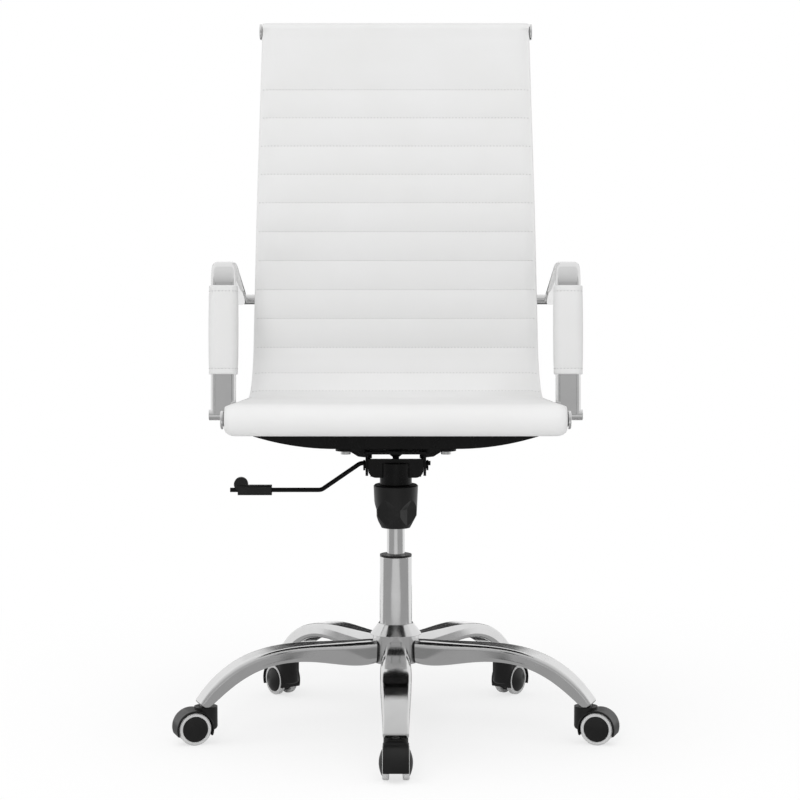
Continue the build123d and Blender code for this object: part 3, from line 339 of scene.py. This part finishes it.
def make_materials():
    """Every finish by the name of the record's material slot, and the thread."""
    return {
        # The seat cover has painted near-black shade on its underside.
        "white_upholstery": leatherette("white_upholstery_look", tone=0.72, underside_shade_painted=True),
        # The sleeves use the seat's leatherette toned a little darker, 0.69 against 0.72: painted shade that
        # offsets the extra light they catch.
        "white_sleeve": leatherette("white_sleeve_look", tone=0.69),
        "thread": thread("white_thread_look", tone=0.56),
        "chrome_frame": polished_metal("chrome_frame_look", tone=0.74, roughness=(0.06, 0.12)),
        "chrome_base": polished_metal("chrome_base_look", tone=0.70, roughness=(0.09, 0.15), wave=0.06),
        "black_steel": dark_coat(
            "black_steel_look", tone=0.004, shine=0.14, roughness=(0.22, 0.28), grain=1200.0),
        "black_plastic": dark_coat(
            "black_plastic_look", tone=0.006, shine=0.33, roughness=(0.34, 0.40), grain=1400.0),
        "zinc_fasteners": polished_metal("zinc_look", tone=0.62, roughness=(0.22, 0.36)),
        "bare_steel": polished_metal("bare_steel_look", tone=0.45, roughness=(0.2, 0.34)),
        "caster_wheel": tread_plastic("caster_tread_look", tone=0.58),
    }


# Meshes

def make_piece(name, vertices, faces, material, body):
    """A smooth mesh piece that rides on a body and takes its finish from a slot."""
    mesh = bpy.data.meshes.new(name)
    mesh.from_pydata(vertices, [], faces)
    mesh.materials.append(material)
    mesh.shade_smooth()
    piece = bpy.data.objects.new(name, mesh)
    bpy.context.scene.collection.objects.link(piece)
    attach(piece, body)
    return piece


def tidy_mesh(piece, weld, fill_holes):
    """Welds points that meet, closes what is left open and turns all faces outward."""
    mesh = bmesh.new()
    mesh.from_mesh(piece.data)
    bmesh.ops.remove_doubles(mesh, verts=mesh.verts, dist=weld)
    if fill_holes:
        bmesh.ops.holes_fill(mesh, edges=mesh.edges, sides=0)
    bmesh.ops.recalc_face_normals(mesh, faces=mesh.faces)
    mesh.to_mesh(piece.data)
    mesh.free()


def loft_faces(row_count, row_length):
    """Quads between rows of points, where each row is a closed loop."""
    faces = []
    for row in range(row_count - 1):
        for place in range(row_length):
            following = (place + 1) % row_length
            here = row * row_length
            there = here + row_length
            faces.append((here + place, here + following, there + following, there + place))
    return faces


def subdivide(piece, levels):
    """A smoothing modifier, the same in the view and in the render."""
    smoothing = piece.modifiers.new("smoothing", "SUBSURF")
    smoothing.levels = levels
    smoothing.render_levels = levels


def puff(piece, is_held, pressure, most):
    """Fills a cover by cloth pressure while the held points stay, and moves no point further than most."""
    starts = [vertex.co.copy() for vertex in piece.data.vertices]
    held = piece.vertex_groups.new(name="held")
    held.add([i for i, co in enumerate(starts) if is_held(co)], 1.0, "REPLACE")
    cloth = piece.modifiers.new("puff", "CLOTH")
    cloth.settings.vertex_group_mass = "held"
    cloth.settings.use_pressure = True
    cloth.settings.uniform_pressure_force = pressure
    cloth.settings.effector_weights.gravity = 0.0
    cloth.settings.quality = 5
    cloth.settings.mass = 0.2
    cloth.settings.tension_stiffness = 20.0
    cloth.settings.compression_stiffness = 20.0
    cloth.settings.bending_stiffness = 1.5
    cloth.collision_settings.use_collision = False
    cloth.point_cache.frame_end = SIMULATED_FRAMES
    scene = bpy.context.scene
    for number in range(1, SIMULATED_FRAMES + 1):
        scene.frame_set(number)
    puffed = piece.evaluated_get(bpy.context.evaluated_depsgraph_get())
    ends = [vertex.co.copy() for vertex in puffed.data.vertices]
    piece.modifiers.remove(cloth)
    scene.frame_set(1)
    for vertex, start, end in zip(piece.data.vertices, starts, ends):
        move = end - start
        if move.length > most:
            move *= most / move.length
        vertex.co = start + move


# The sling

def rounded_line():
    """The sling's middle line as close points in (y, z)."""
    corners = [Vector(corner) for corner in LINE_CORNERS]
    points = [corners[0]]
    for index, radius in enumerate(LINE_RADII, start=1):
        corner = corners[index]
        back = (corners[index - 1] - corner).normalized()
        ahead = (corners[index + 1] - corner).normalized()
        half_angle = back.angle(ahead) / 2
        centre = corner + (back + ahead).normalized() * radius / math.sin(half_angle)
        arm = corner + back * radius / math.tan(half_angle) - centre
        turn = math.copysign(math.pi - 2 * half_angle, -back.cross(ahead))
        steps = 40
        for step in range(steps + 1):
            points.append(centre + Matrix.Rotation(turn * step / steps, 2) @ arm)
    points.append(corners[-1])
    return points


class SlingLine:
    """Places along the sling's middle line by their distance from the front edge."""

    def __init__(self):
        self.points = rounded_line()
        self.distances = [0.0]
        for before, after in zip(self.points, self.points[1:]):
            self.distances.append(self.distances[-1] + (after - before).length)
        self.length = self.distances[-1]
        self.pitch = (self.length - HEAD_PANEL - FRONT_PANEL) / RIB_COUNT

    def at(self, distance):
        """The point, the way along and the way out to the sitter, in (y, z)."""
        index = 0
        while index < len(self.points) - 2 and self.distances[index + 1] < distance:
            index += 1
        before = self.points[index]
        along = (self.points[index + 1] - before).normalized()
        point = before + along * (distance - self.distances[index])
        return point, along, Vector((-along.y, along.x))

    def seams(self):
        """The distances of the sewn lines, top one first."""
        first = self.length - HEAD_PANEL
        return [first - self.pitch * number for number in range(RIB_COUNT + 1)]


def half_width(point):
    """Half of the sling's width at a point (y, z)."""
    front_y, front_z = LINE_CORNERS[0]
    return HALF_WIDTH_FRONT + HALF_WIDTH_PER_Y * (point.x - front_y) + HALF_WIDTH_PER_Z * (point.y - front_z)


def rib_half(line, distance):
    """Half thickness of the padding, full on the ribs and pinched in the seams."""
    seams = line.seams()
    if distance >= seams[0] or distance <= seams[-1]:
        beside = seams[0] if distance >= seams[0] else seams[-1]
        share = min(abs(distance - beside) / (line.pitch / 2), 1.0)
    else:
        place = (seams[0] - distance) / line.pitch % 1.0
        share = 1 - abs(2 * place - 1)
    return SEAM_HALF + (RIB_HALF - SEAM_HALF) * (1 - (1 - share) ** RIB_FULLNESS)


def sling_rows(line):
    """The distances at which the sling has a row of points: each seam, and between the seams."""
    seams = line.seams()
    shares = [0.0, 0.05, 0.13, 0.26, 0.42, 0.58, 0.74, 0.87, 0.95]
    rows = []
    for upper in seams[:-1]:
        rows += [upper - share * line.pitch for share in shares]
    rows.append(seams[-1])
    pinch = 2.5 * MM
    head_steps = 14
    front_steps = 12
    rows += [seams[0] + pinch + (HEAD_PANEL - pinch) * k / head_steps for k in range(head_steps + 1)]
    rows += [(seams[-1] - pinch) * k / front_steps for k in range(front_steps + 1)]
    return sorted(rows)


def sling_loop(line):
    """One turn round the sling's section: (distance, along, out, is on a roll) for each point."""
    rows = sling_rows(line)
    loop = [(distance, 0.0, rib_half(line, distance), False) for distance in rows]
    top_end = -math.pi - math.asin((TOP_ROLL["out"] + RIB_HALF) / -TOP_ROLL["radius"])
    front_start = math.asin((-RIB_HALF - FRONT_ROLL["out"]) / FRONT_ROLL["radius"])
    for step in range(1, ROLL_STEPS + 1):
        angle = math.pi / 2 + (top_end - math.pi / 2) * step / ROLL_STEPS
        reach = TOP_ROLL["radius"]
        loop.append((line.length, reach * math.cos(angle), TOP_ROLL["out"] + reach * math.sin(angle), True))
    lowest = FRONT_ROLL["radius"] * math.cos(front_start) + ROLL_CLEARANCE
    highest = line.length - TOP_ROLL["radius"] - ROLL_CLEARANCE
    under = [distance for distance in reversed(rows) if lowest < distance < highest]
    loop += [(distance, 0.0, -rib_half(line, distance), False) for distance in under]
    for step in range(ROLL_STEPS):
        angle = front_start - (front_start + 1.5 * math.pi) * step / ROLL_STEPS
        reach = FRONT_ROLL["radius"]
        loop.append((0.0, reach * math.cos(angle), FRONT_ROLL["out"] + reach * math.sin(angle), True))
    return loop


def seat_sag(distance, share):
    """How far the seat hangs between its rails, at a share of the half width."""
    reach = LINE_CORNERS[1][0] - LINE_CORNERS[0][0]
    if not 0 < distance < reach:
        return 0.0
    return SEAT_SAG * math.sin(math.pi * distance / reach) ** 2 * (1 - share ** 2)


def edge_thickness(from_edge, full):
    """Half thickness near the side edge: round at the very edge, then rising to the full padding."""
    if from_edge <= 0:
        return 0.0
    if from_edge < EDGE_ROUND:
        return EDGE_HALF * math.sqrt(1 - (1 - from_edge / EDGE_ROUND) ** 2)
    share = min((from_edge - EDGE_ROUND) / EDGE_DRAW, 1.0)
    rise = share * share * (3 - 2 * share)
    return EDGE_HALF + (full - EDGE_HALF) * rise


def sling_columns():
    """Where the sling has points across its width, from one side edge to the other.

    Near an edge it is (side, distance from the edge, None), and between them (0, None, share of the rest).
    """
    from_edge = [0.0, 0.4 * MM, 1.2 * MM, 2.2 * MM, 4.5 * MM, 8 * MM, 12 * MM, 17 * MM]
    inner = 38
    left = [(-1, distance, None) for distance in from_edge]
    middle = [(0, None, -1 + 2 * k / inner) for k in range(inner + 1)]
    right = [(1, distance, None) for distance in reversed(from_edge)]
    return left + middle + right


def sling_point(line, entry, column):
    """A point of the sling from its place in the section and across the width."""
    distance, along_by, out_by, on_roll = entry
    side, from_edge, share = column
    point, along, out = line.at(distance)
    half = half_width(point)
    inner_margin = 25.0 * MM
    if side:
        x = side * (half - from_edge)
    else:
        x = share * (half - inner_margin)
        from_edge = half - abs(x)
    if on_roll:
        roll = FRONT_ROLL if distance == 0.0 else TOP_ROLL
        share = min(from_edge / ROLL_END_ROUND, 1.0)
        rise = math.sqrt(1 - (1 - share) ** 2)
        scale = (ROLL_END_RADIUS + (roll["radius"] - ROLL_END_RADIUS) * rise) / roll["radius"]
        along_by = along_by * scale
        out_by = roll["out"] + (out_by - roll["out"]) * scale
    else:
        out_by = math.copysign(edge_thickness(from_edge, abs(out_by)), out_by)
        out_by -= seat_sag(distance, abs(x) / half)
    place = point + along * along_by + out * out_by
    return Vector((x, place.x, place.y))


def make_sling(line, material):
    """The padded seat and back in one length, with rolled front and top."""
    loop = sling_loop(line)
    columns = sling_columns()
    vertices = [sling_point(line, entry, column) for column in columns for entry in loop]
    faces = loft_faces(len(columns), len(loop))
    piece = make_piece("sling_cover", vertices, faces, material, "seat")
    tidy_mesh(piece, weld=0.02 * MM, fill_holes=True)
    return piece


def sling_holds(line):
    """A test of which sling points stay in place: seams, side edges and rolls."""
    seam_points = [line.at(distance)[0] for distance in line.seams()]
    near_seam = SEAM_HALF + 1.0 * MM
    near_edge = 9.0 * MM

    def is_held(co):
        place = Vector((co.y, co.z))
        if half_width(place) - abs(co.x) < near_edge:
            return True
        in_front_roll = co.y < LINE_CORNERS[0][0] + FRONT_ROLL["radius"]
        in_top_roll = co.z > LINE_CORNERS[-1][1] - TOP_ROLL["radius"]
        if in_front_roll or in_top_roll:
            return True
        return any((place - point).length < near_seam for point in seam_points)

    return is_held


# Stitching

def stitch(centre, along, up):
    """Points and faces of one stitch: a short thread with rounded ends."""
    across = along.cross(up)
    vertices = [centre - along * STITCH_LENGTH / 2]
    for end in (-STITCH_STRAIGHT / 2, STITCH_STRAIGHT / 2):
        for side in range(STITCH_SIDES):
            angle = 2 * math.pi * side / STITCH_SIDES
            offset = (across * math.cos(angle) + up * math.sin(angle)) * STITCH_RADIUS
            vertices.append(centre + along * STITCH_LENGTH * end + offset)
    vertices.append(centre + along * STITCH_LENGTH / 2)
    last = len(vertices) - 1
    faces = []
    for side in range(STITCH_SIDES):
        following = (side + 1) % STITCH_SIDES
        faces.append((0, 1 + following, 1 + side))
        faces.append((1 + side, 1 + following, 1 + STITCH_SIDES + following, 1 + STITCH_SIDES + side))
        faces.append((last, 1 + STITCH_SIDES + side, 1 + STITCH_SIDES + following))
    return vertices, faces


def make_stitching(name, stitches, material):
    """All stitches of one cover as one piece; each stitch is (centre, along, up)."""
    vertices = []
    faces = []
    for centre, along, up in stitches:
        new_vertices, new_faces = stitch(centre, along, up)
        first = len(vertices)
        vertices += new_vertices
        faces += [tuple(first + index for index in face) for face in new_faces]
    return make_piece(name, vertices, faces, material, "seat")


def sling_stitches(line):
    """A stitch at every step along each seam, on the front and on the back of the sling."""
    stitches = []
    clear_of_edge = 5.0 * MM
    proud = 0.25 * MM
    for distance in line.seams():
        point, _, out = line.at(distance)
        half = half_width(point)
        count = int(2 * (half - clear_of_edge) / STITCH_PITCH)
        for number in range(count + 1):
            x = (number - count / 2) * STITCH_PITCH
            thick = edge_thickness(half - abs(x), SEAM_HALF) + proud
            sag = seat_sag(distance, abs(x) / half)
            for face in (1, -1):
                place = point + out * (face * thick - sag)
                up = Vector((0.0, out.x, out.y)) * face
                stitches.append((Vector((x, place.x, place.y)), SIDEWAYS, up))
    return stitches


# The arm sleeves

def sleeve_loop(growth, round_steps):
    """Points (across, out) round the arm's section grown outward: two straights and two half circles."""
    width = ARM_SECTION[0] + 2 * growth
    thickness = ARM_SECTION[1] + 2 * growth
    radius = thickness / 2
    reach = width / 2 - radius
    flat_steps = 8
    loop = []
    for side in (1, -1):
        for step in range(round_steps + 1):
            angle = math.pi * (step / round_steps - side / 2)
            loop.append((side * reach + radius * math.cos(angle), radius * math.sin(angle)))
        for step in range(1, flat_steps):
            share = step / flat_steps
            loop.append((side * reach * (1 - 2 * share), side * radius))
    return loop


def sleeve_length():
    """The length of a sleeve along the arm's leg."""
    way = (ARM_FRONT - ARM_KNEE).normalized()
    return (SLEEVE_TOP_Z - SLEEVE_LOW_Z) / -way.y


def sleeve_profile():
    """(place along the sleeve from its top, growth of the section) for each row of points."""
    length = sleeve_length()
    inner = 0.25 * MM
    hem = [
        (0.5 * MM, inner),
        (0.0, SLEEVE_WALL * 0.5),
        (0.5 * MM, SLEEVE_WALL * 0.92),
        (2.0 * MM, SLEEVE_WALL),
        (HEM_LENGTH * 0.6, SLEEVE_WALL),
        (HEM_LENGTH * 0.92, SLEEVE_WALL * 0.97),
        (HEM_LENGTH, SLEEVE_WALL * HEM_SEAM),
        (HEM_LENGTH * 1.08, SLEEVE_WALL * 0.95),
    ]
    body = []
    body_steps = 18
    start = HEM_LENGTH * 1.3
    for step in range(body_steps + 1):
        place = start + (length - 2 * start) * step / body_steps
        crown = SLEEVE_CROWN * math.sin(math.pi * step / body_steps) ** 0.5
        body.append((place, SLEEVE_WALL + crown))
    lower_hem = [(length - place, growth) for place, growth in reversed(hem)]
    return hem + body + lower_hem


def sleeve_frame(side):
    """The sleeve's top centre, its way down, and its way out to the front."""
    way = (ARM_FRONT - ARM_KNEE).normalized()
    share = (ARM_KNEE.y - SLEEVE_TOP_Z) / -way.y
    top = ARM_KNEE + way * share
    down = Vector((0.0, way.x, way.y))
    out = Vector((0.0, way.y, -way.x))
    return Vector((side * ARM_X, top.x, top.y)), down, out


def make_sleeve(side, name, node, material):
    """A sewn sleeve with a hem at both ends, drawn over the arm's front leg."""
    rows = sleeve_profile()
    top, down, out = sleeve_frame(side)
    vertices = []
    for place, growth in rows:
        for across, outward in sleeve_loop(growth, round_steps=12):
            vertices.append(top + down * place + SIDEWAYS * across + out * outward)
    row_length = len(vertices) // len(rows)
    piece = make_piece(name, vertices, loft_faces(len(rows), row_length), material, "seat")
    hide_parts(node)
    tidy_mesh(piece, weld=0.01 * MM, fill_holes=False)
    return piece


def sleeve_holds(side):
    """A test of which sleeve points stay: the hems."""
    length = sleeve_length()
    top, down, _ = sleeve_frame(side)
    margin = HEM_LENGTH * 1.2

    def is_held(co):
        place = (co - top).dot(down)
        return place < margin or place > length - margin

    return is_held


def sleeve_stitches(side):
    """Stitches round both hems of a sleeve."""
    top, down, out = sleeve_frame(side)
    proud = 0.2 * MM
    loop = sleeve_loop(SLEEVE_WALL * HEM_SEAM + proud, round_steps=40)
    corners = [Vector(corner) for corner in loop]
    stitches = []
    for place in (HEM_LENGTH, sleeve_length() - HEM_LENGTH):
        travelled = 0.0
        due = 0.0
        for here, there in zip(corners, corners[1:] + corners[:1]):
            step = (there - here).length
            while step > 0 and due <= travelled + step:
                spot = here + (there - here) * ((due - travelled) / step)
                way = (there - here).normalized()
                along = SIDEWAYS * way.x + out * way.y
                up = SIDEWAYS * way.y - out * way.x
                centre = top + down * place + SIDEWAYS * spot.x + out * spot.y
                stitches.append((centre, along, up))
                due += STITCH_PITCH
            travelled += step
    return stitches


# The caster wheels

def lathe(name, profile, centre, axle, material, body):
    """A turned piece: the profile is (radius, place along the axle)."""
    side = axle.orthogonal().normalized()
    other = axle.cross(side)
    vertices = []
    for radius, place in profile:
        for segment in range(WHEEL_SEGMENTS):
            angle = 2 * math.pi * segment / WHEEL_SEGMENTS
            spoke = side * math.cos(angle) + other * math.sin(angle)
            vertices.append(centre + axle * place + spoke * radius)
    piece = make_piece(name, vertices, loft_faces(len(profile), WHEEL_SEGMENTS), material, body)
    tidy_mesh(piece, weld=0.02 * MM, fill_holes=False)
    return piece


def tread_profile():
    """The pale tread: a rounded band with a lip beside the disc."""
    low = -WHEEL_WIDTH / 2
    high = low + TREAD_WIDTH
    inner = DISC_RADIUS
    bend = 2.6 * MM
    shoulder = WHEEL_RADIUS - bend
    inner_chamfer = 1.0 * MM
    lip = 1.2 * MM
    lip_round = 0.3 * MM
    bend_steps = 6
    points = [(inner, low + inner_chamfer), (inner + inner_chamfer, low), (shoulder, low)]
    for step in range(1, bend_steps + 1):
        angle = math.pi / 2 * step / bend_steps
        points.append((shoulder + bend * math.sin(angle), low + bend - bend * math.cos(angle)))
    for step in range(bend_steps + 1):
        angle = math.pi / 2 * step / bend_steps
        points.append((shoulder + bend * math.cos(angle), high - bend + bend * math.sin(angle)))
    points += [(inner + lip, high), (inner + lip_round, high - lip_round), (inner, high - lip)]
    return points


def disc_profile():
    """The black disc: a narrow groove beside the tread and one dome that stands out beyond it."""
    half = WHEEL_WIDTH / 2
    clearance = 0.15 * MM
    edge = DISC_RADIUS - clearance
    inner_face = -half + 1.0 * MM
    chamfer = (1.0 * MM, 0.8 * MM)
    groove_low = half - DISC_DOME - 0.8 * MM
    groove_high = half - DISC_DOME - 0.2 * MM
    groove_lean = 0.3 * MM
    dome_inset = 0.9 * MM
    dome_steps = 10
    points = [(0.0, inner_face), (edge - chamfer[0], inner_face), (edge, inner_face + chamfer[1])]
    points += [(edge, groove_low), (edge - groove_lean, groove_high)]
    for step in range(dome_steps + 1):
        radius = (edge - dome_inset) * (1 - step / dome_steps)
        points.append((radius, half - DISC_DOME * (radius / edge) ** 2))
    return points


def middle_of(node):
    """The middle of a CAD node's box."""
    low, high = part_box(node)
    return (low + high) / 2


def make_wheels(materials):
    """A tread and a disc for each of the ten wheels."""
    for number in range(1, CASTER_COUNT + 1):
        nodes = {side: f"caster_wheel_{side}_{number}" for side in ("left", "right")}
        middles = {side: middle_of(node) for side, node in nodes.items()}
        for side, other in (("left", "right"), ("right", "left")):
            axle = (middles[side] - middles[other]).normalized()
            body = f"wheel_{side}_{number}"
            tread = lathe(f"caster_tread_{side}_{number}", tread_profile(), middles[side], axle,
                          materials["caster_wheel"], body)
            disc = lathe(f"caster_disc_{side}_{number}", disc_profile(), middles[side], axle,
                         materials["black_plastic"], body)
            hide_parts(nodes[side])
            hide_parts(nodes[side])


# Studio

def flat_panel(name, size, place, facing, material):
    """A rectangular studio panel with its face turned along facing."""
    mesh = bpy.data.meshes.new(name)
    x, y = size[0] / 2, size[1] / 2
    mesh.from_pydata([(-x, -y, 0), (x, -y, 0), (x, y, 0), (-x, y, 0)], [], [(0, 1, 2, 3)])
    mesh.materials.append(material)
    panel = bpy.data.objects.new(name, mesh)
    panel.location = place
    panel.rotation_euler = Vector(facing).to_track_quat("Z", "Y").to_euler()
    bpy.context.scene.collection.objects.link(panel)
    return panel


def card_tone(name, front_tone, rear_tone):
    """A plain tone for mirrors to see, which runs from the room's front wall to the middle of the chair."""
    material, tree, shader = start_material(name)
    shader.inputs["Base Color"].default_value = (*grey(0.0), 1.0)
    shader.inputs["Specular IOR Level"].default_value = 0.0
    shader.inputs["Emission Color"].default_value = (*grey(1.0), 1.0)
    place = tree.nodes.new("ShaderNodeNewGeometry")
    spot = tree.nodes.new("ShaderNodeSeparateXYZ")
    tree.links.new(place.outputs["Position"], spot.inputs["Vector"])
    tone = stretched(tree, spot.outputs["Y"], (ROOM_FRONT_Y, 0.0), (front_tone, rear_tone))
    tree.links.new(tone, shader.inputs["Emission Strength"])
    return material


def reflected_card(name, size, place, facing, tone, rear_tone=None):
    """A panel that only mirrors see, so it gives the chrome its bands and throws no light or shade."""
    material = card_tone(f"{name}_tone", tone, rear_tone or tone)
    card = flat_panel(name, size, place, facing, material)
    card.visible_camera = False
    card.visible_diffuse = False
    card.visible_shadow = False


def level_card(name, width, front_y, rear_y, z, facing, tone, rear_tone=None):
    """A level card between two places along Y."""
    size = (width, rear_y - front_y)
    place = (0.0, (front_y + rear_y) / 2, z)
    reflected_card(name, size, place, facing, tone, rear_tone)


def make_cards():
    """What the chrome mirrors: a grey room round the front of the chair, and dark cards low behind it."""
    middle_z = ROOM_HEIGHT / 2
    above_floor = 2.0 * MM
    reflected_card("wall_card", size=(ROOM_WIDTH, ROOM_HEIGHT), place=(0.0, ROOM_FRONT_Y, middle_z),
                   facing=(0, 1, 0), tone=WALL_TONE)
    level_card("ceiling_card", width=ROOM_WIDTH, front_y=ROOM_FRONT_Y, rear_y=0.8, z=ROOM_HEIGHT,
               facing=DOWN, tone=CEILING_TONE, rear_tone=CEILING_REAR_TONE)
    level_card("floor_card", width=ROOM_WIDTH, front_y=ROOM_FRONT_Y, rear_y=0.3, z=0.0,
               facing=UP, tone=FLOOR_TONE)
    level_card("floor_strip", width=1.4, front_y=-5.5, rear_y=-0.9, z=above_floor,
               facing=UP, tone=FLOOR_STRIP_TONE)
    reflected_card("back_card", size=(2.2, 0.62), place=(0.0, 3.0, 0.72), facing=(0, -1, 0), tone=REAR_TONE)
    level_card("under_card", width=0.9, front_y=0.345, rear_y=1.295, z=above_floor, facing=UP, tone=REAR_TONE)
    for side, word in ((-1, "left"), (1, "right")):
        reflected_card(f"side_card_{word}", size=(5.0, ROOM_HEIGHT),
                       place=(side * ROOM_WIDTH / 2, -3.1, middle_z), facing=(-side, 0, 0), tone=SIDE_TONE)
        reflected_card(f"corner_card_{word}", size=(0.4, ROOM_HEIGHT),
                       place=(side * 2.9, -4.9, middle_z), facing=(-side, 1, 0), tone=CORNER_TONE)


def seen_by_eye_or_mirror(tree):
    """1 for what the camera sees, itself or through mirrors and glass, and 0 for light on a surface."""
    path = tree.nodes.new("ShaderNodeLightPath")
    seen = path.outputs["Is Camera Ray"]
    for kind in ("Is Glossy Ray", "Is Transmission Ray"):
        seen = calculated(tree, "MAXIMUM", seen, path.outputs[kind])
    return seen


def make_surround():
    """An even white surround, plain white to the eye and to mirrors, softer as a light."""
    world = bpy.data.worlds.new("surround")
    world.use_nodes = True
    tree = world.node_tree
    background = tree.nodes["Background"]
    background.inputs["Color"].default_value = (*grey(1.0), 1.0)
    strength = stretched(tree, seen_by_eye_or_mirror(tree), (0.0, 1.0), (SURROUND_LIGHT, 1.0))
    tree.links.new(strength, background.inputs["Strength"])
    bpy.context.scene.world = world


def floor_paint():
    """White floor paint; the eye and mirrors see it part plain white, which thins the shadow."""
    material, tree, shader = start_material("floor_paint")
    tint_with(tree, noise_of(tree, scale=0.8), grey(0.94), grey(0.95), shader.inputs["Base Color"])
    shader.inputs["Roughness"].default_value = 0.9
    shader.inputs["Specular IOR Level"].default_value = 0.0
    white = tree.nodes.new("ShaderNodeEmission")
    place = tree.nodes.new("ShaderNodeNewGeometry")
    from_middle = tree.nodes.new("ShaderNodeVectorMath")
    from_middle.operation = "LENGTH"
    tree.links.new(place.outputs["Position"], from_middle.inputs[0])
    distance = from_middle.outputs["Value"]
    whiteness = stretched(tree, distance, FLOOR_SHADOW_REACH, (FLOOR_WHITE_SHARE, 1.0))
    blend = tree.nodes.new("ShaderNodeMixShader")
    share = calculated(tree, "MULTIPLY", seen_by_eye_or_mirror(tree), whiteness)
    tree.links.new(share, blend.inputs["Fac"])
    tree.links.new(shader.outputs["BSDF"], blend.inputs[1])
    tree.links.new(white.outputs["Emission"], blend.inputs[2])
    tree.links.new(blend.outputs["Shader"], tree.nodes["Material Output"].inputs["Surface"])
    return material


def place_lamp(name, lamp, place, turn):
    """Puts up a lamp that mirrors don't see, so that the cards alone shape the reflections."""
    holder = bpy.data.objects.new(name, lamp)
    holder.location = place
    holder.rotation_euler = turn
    holder.visible_glossy = False
    bpy.context.scene.collection.objects.link(holder)


def make_lamps():
    """A wide soft sun from above and a little in front, and a soft box near the camera as the key."""
    sun = bpy.data.lights.new("overhead", "SUN")
    sun.energy = OVERHEAD_LIGHT
    sun.angle = OVERHEAD_SPREAD
    place_lamp("overhead", sun, (0.0, 0.0, 0.0), OVERHEAD_TURN)
    key = bpy.data.lights.new("key", "AREA")
    key.energy = KEY_LIGHT
    key.shape = "RECTANGLE"
    key.size, key.size_y = KEY_SIZE
    aim = KEY_TARGET - KEY_PLACE
    place_lamp("key", key, KEY_PLACE, aim.to_track_quat("-Z", "Y").to_euler())


def make_studio():
    """An even surround, the cards, a pale floor and the lamps."""
    make_surround()
    make_cards()
    flat_panel("floor", (FLOOR_SIZE, FLOOR_SIZE), (0.0, 0.0, -FLOOR_DROP), UP, floor_paint())
    make_lamps()
    bpy.context.scene.view_settings.view_transform = "Standard"


def make_camera():
    """The photo's camera: in front of the column, a little above the arms, tilted down to the middle."""
    camera = bpy.data.cameras.new("camera")
    camera.sensor_width = SENSOR_MM
    camera.lens = CAMERA_FOCAL_PX / PHOTO_PX * SENSOR_MM
    holder = bpy.data.objects.new("camera", camera)
    turn = math.atan((PHOTO_PX / 2 - AXIS_PX) / CAMERA_FOCAL_PX)
    holder.location = (0.0, -CAMERA_DISTANCE, CAMERA_HEIGHT)
    holder.rotation_euler = (math.pi / 2 - CAMERA_TILT, 0.0, -turn)
    bpy.context.scene.collection.objects.link(holder)
    bpy.context.scene.camera = holder


def dress_cad(nodes, materials):
    """Gives every CAD node the finish of its slot."""
    for node in nodes.values():
        for holder in node.material_slots:
            holder.material = materials[holder.material.name.split(".")[0]]


def main():
    """Builds the looks round the CAD frame."""
    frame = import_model()
    materials = make_materials()
    dress_cad(frame["nodes"], materials)

    line = SlingLine()
    sling = make_sling(line, materials["white_upholstery"])
    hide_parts("sling")
    puff(sling, sling_holds(line), SLING_PRESSURE, SLING_PUFF)
    subdivide(sling, levels=1)
    make_stitching("sling_stitching", sling_stitches(line), materials["thread"])

    for side, word in ((-1, "left"), (1, "right")):
        sleeve = make_sleeve(side, f"sleeve_{word}", f"arm_sleeve_{word}", materials["white_sleeve"])
        puff(sleeve, sleeve_holds(side), SLEEVE_PRESSURE, SLEEVE_PUFF)
        subdivide(sleeve, levels=1)
        make_stitching(f"sleeve_stitching_{word}", sleeve_stitches(side), materials["thread"])

    make_wheels(materials)
    make_studio()
    make_camera()


main()
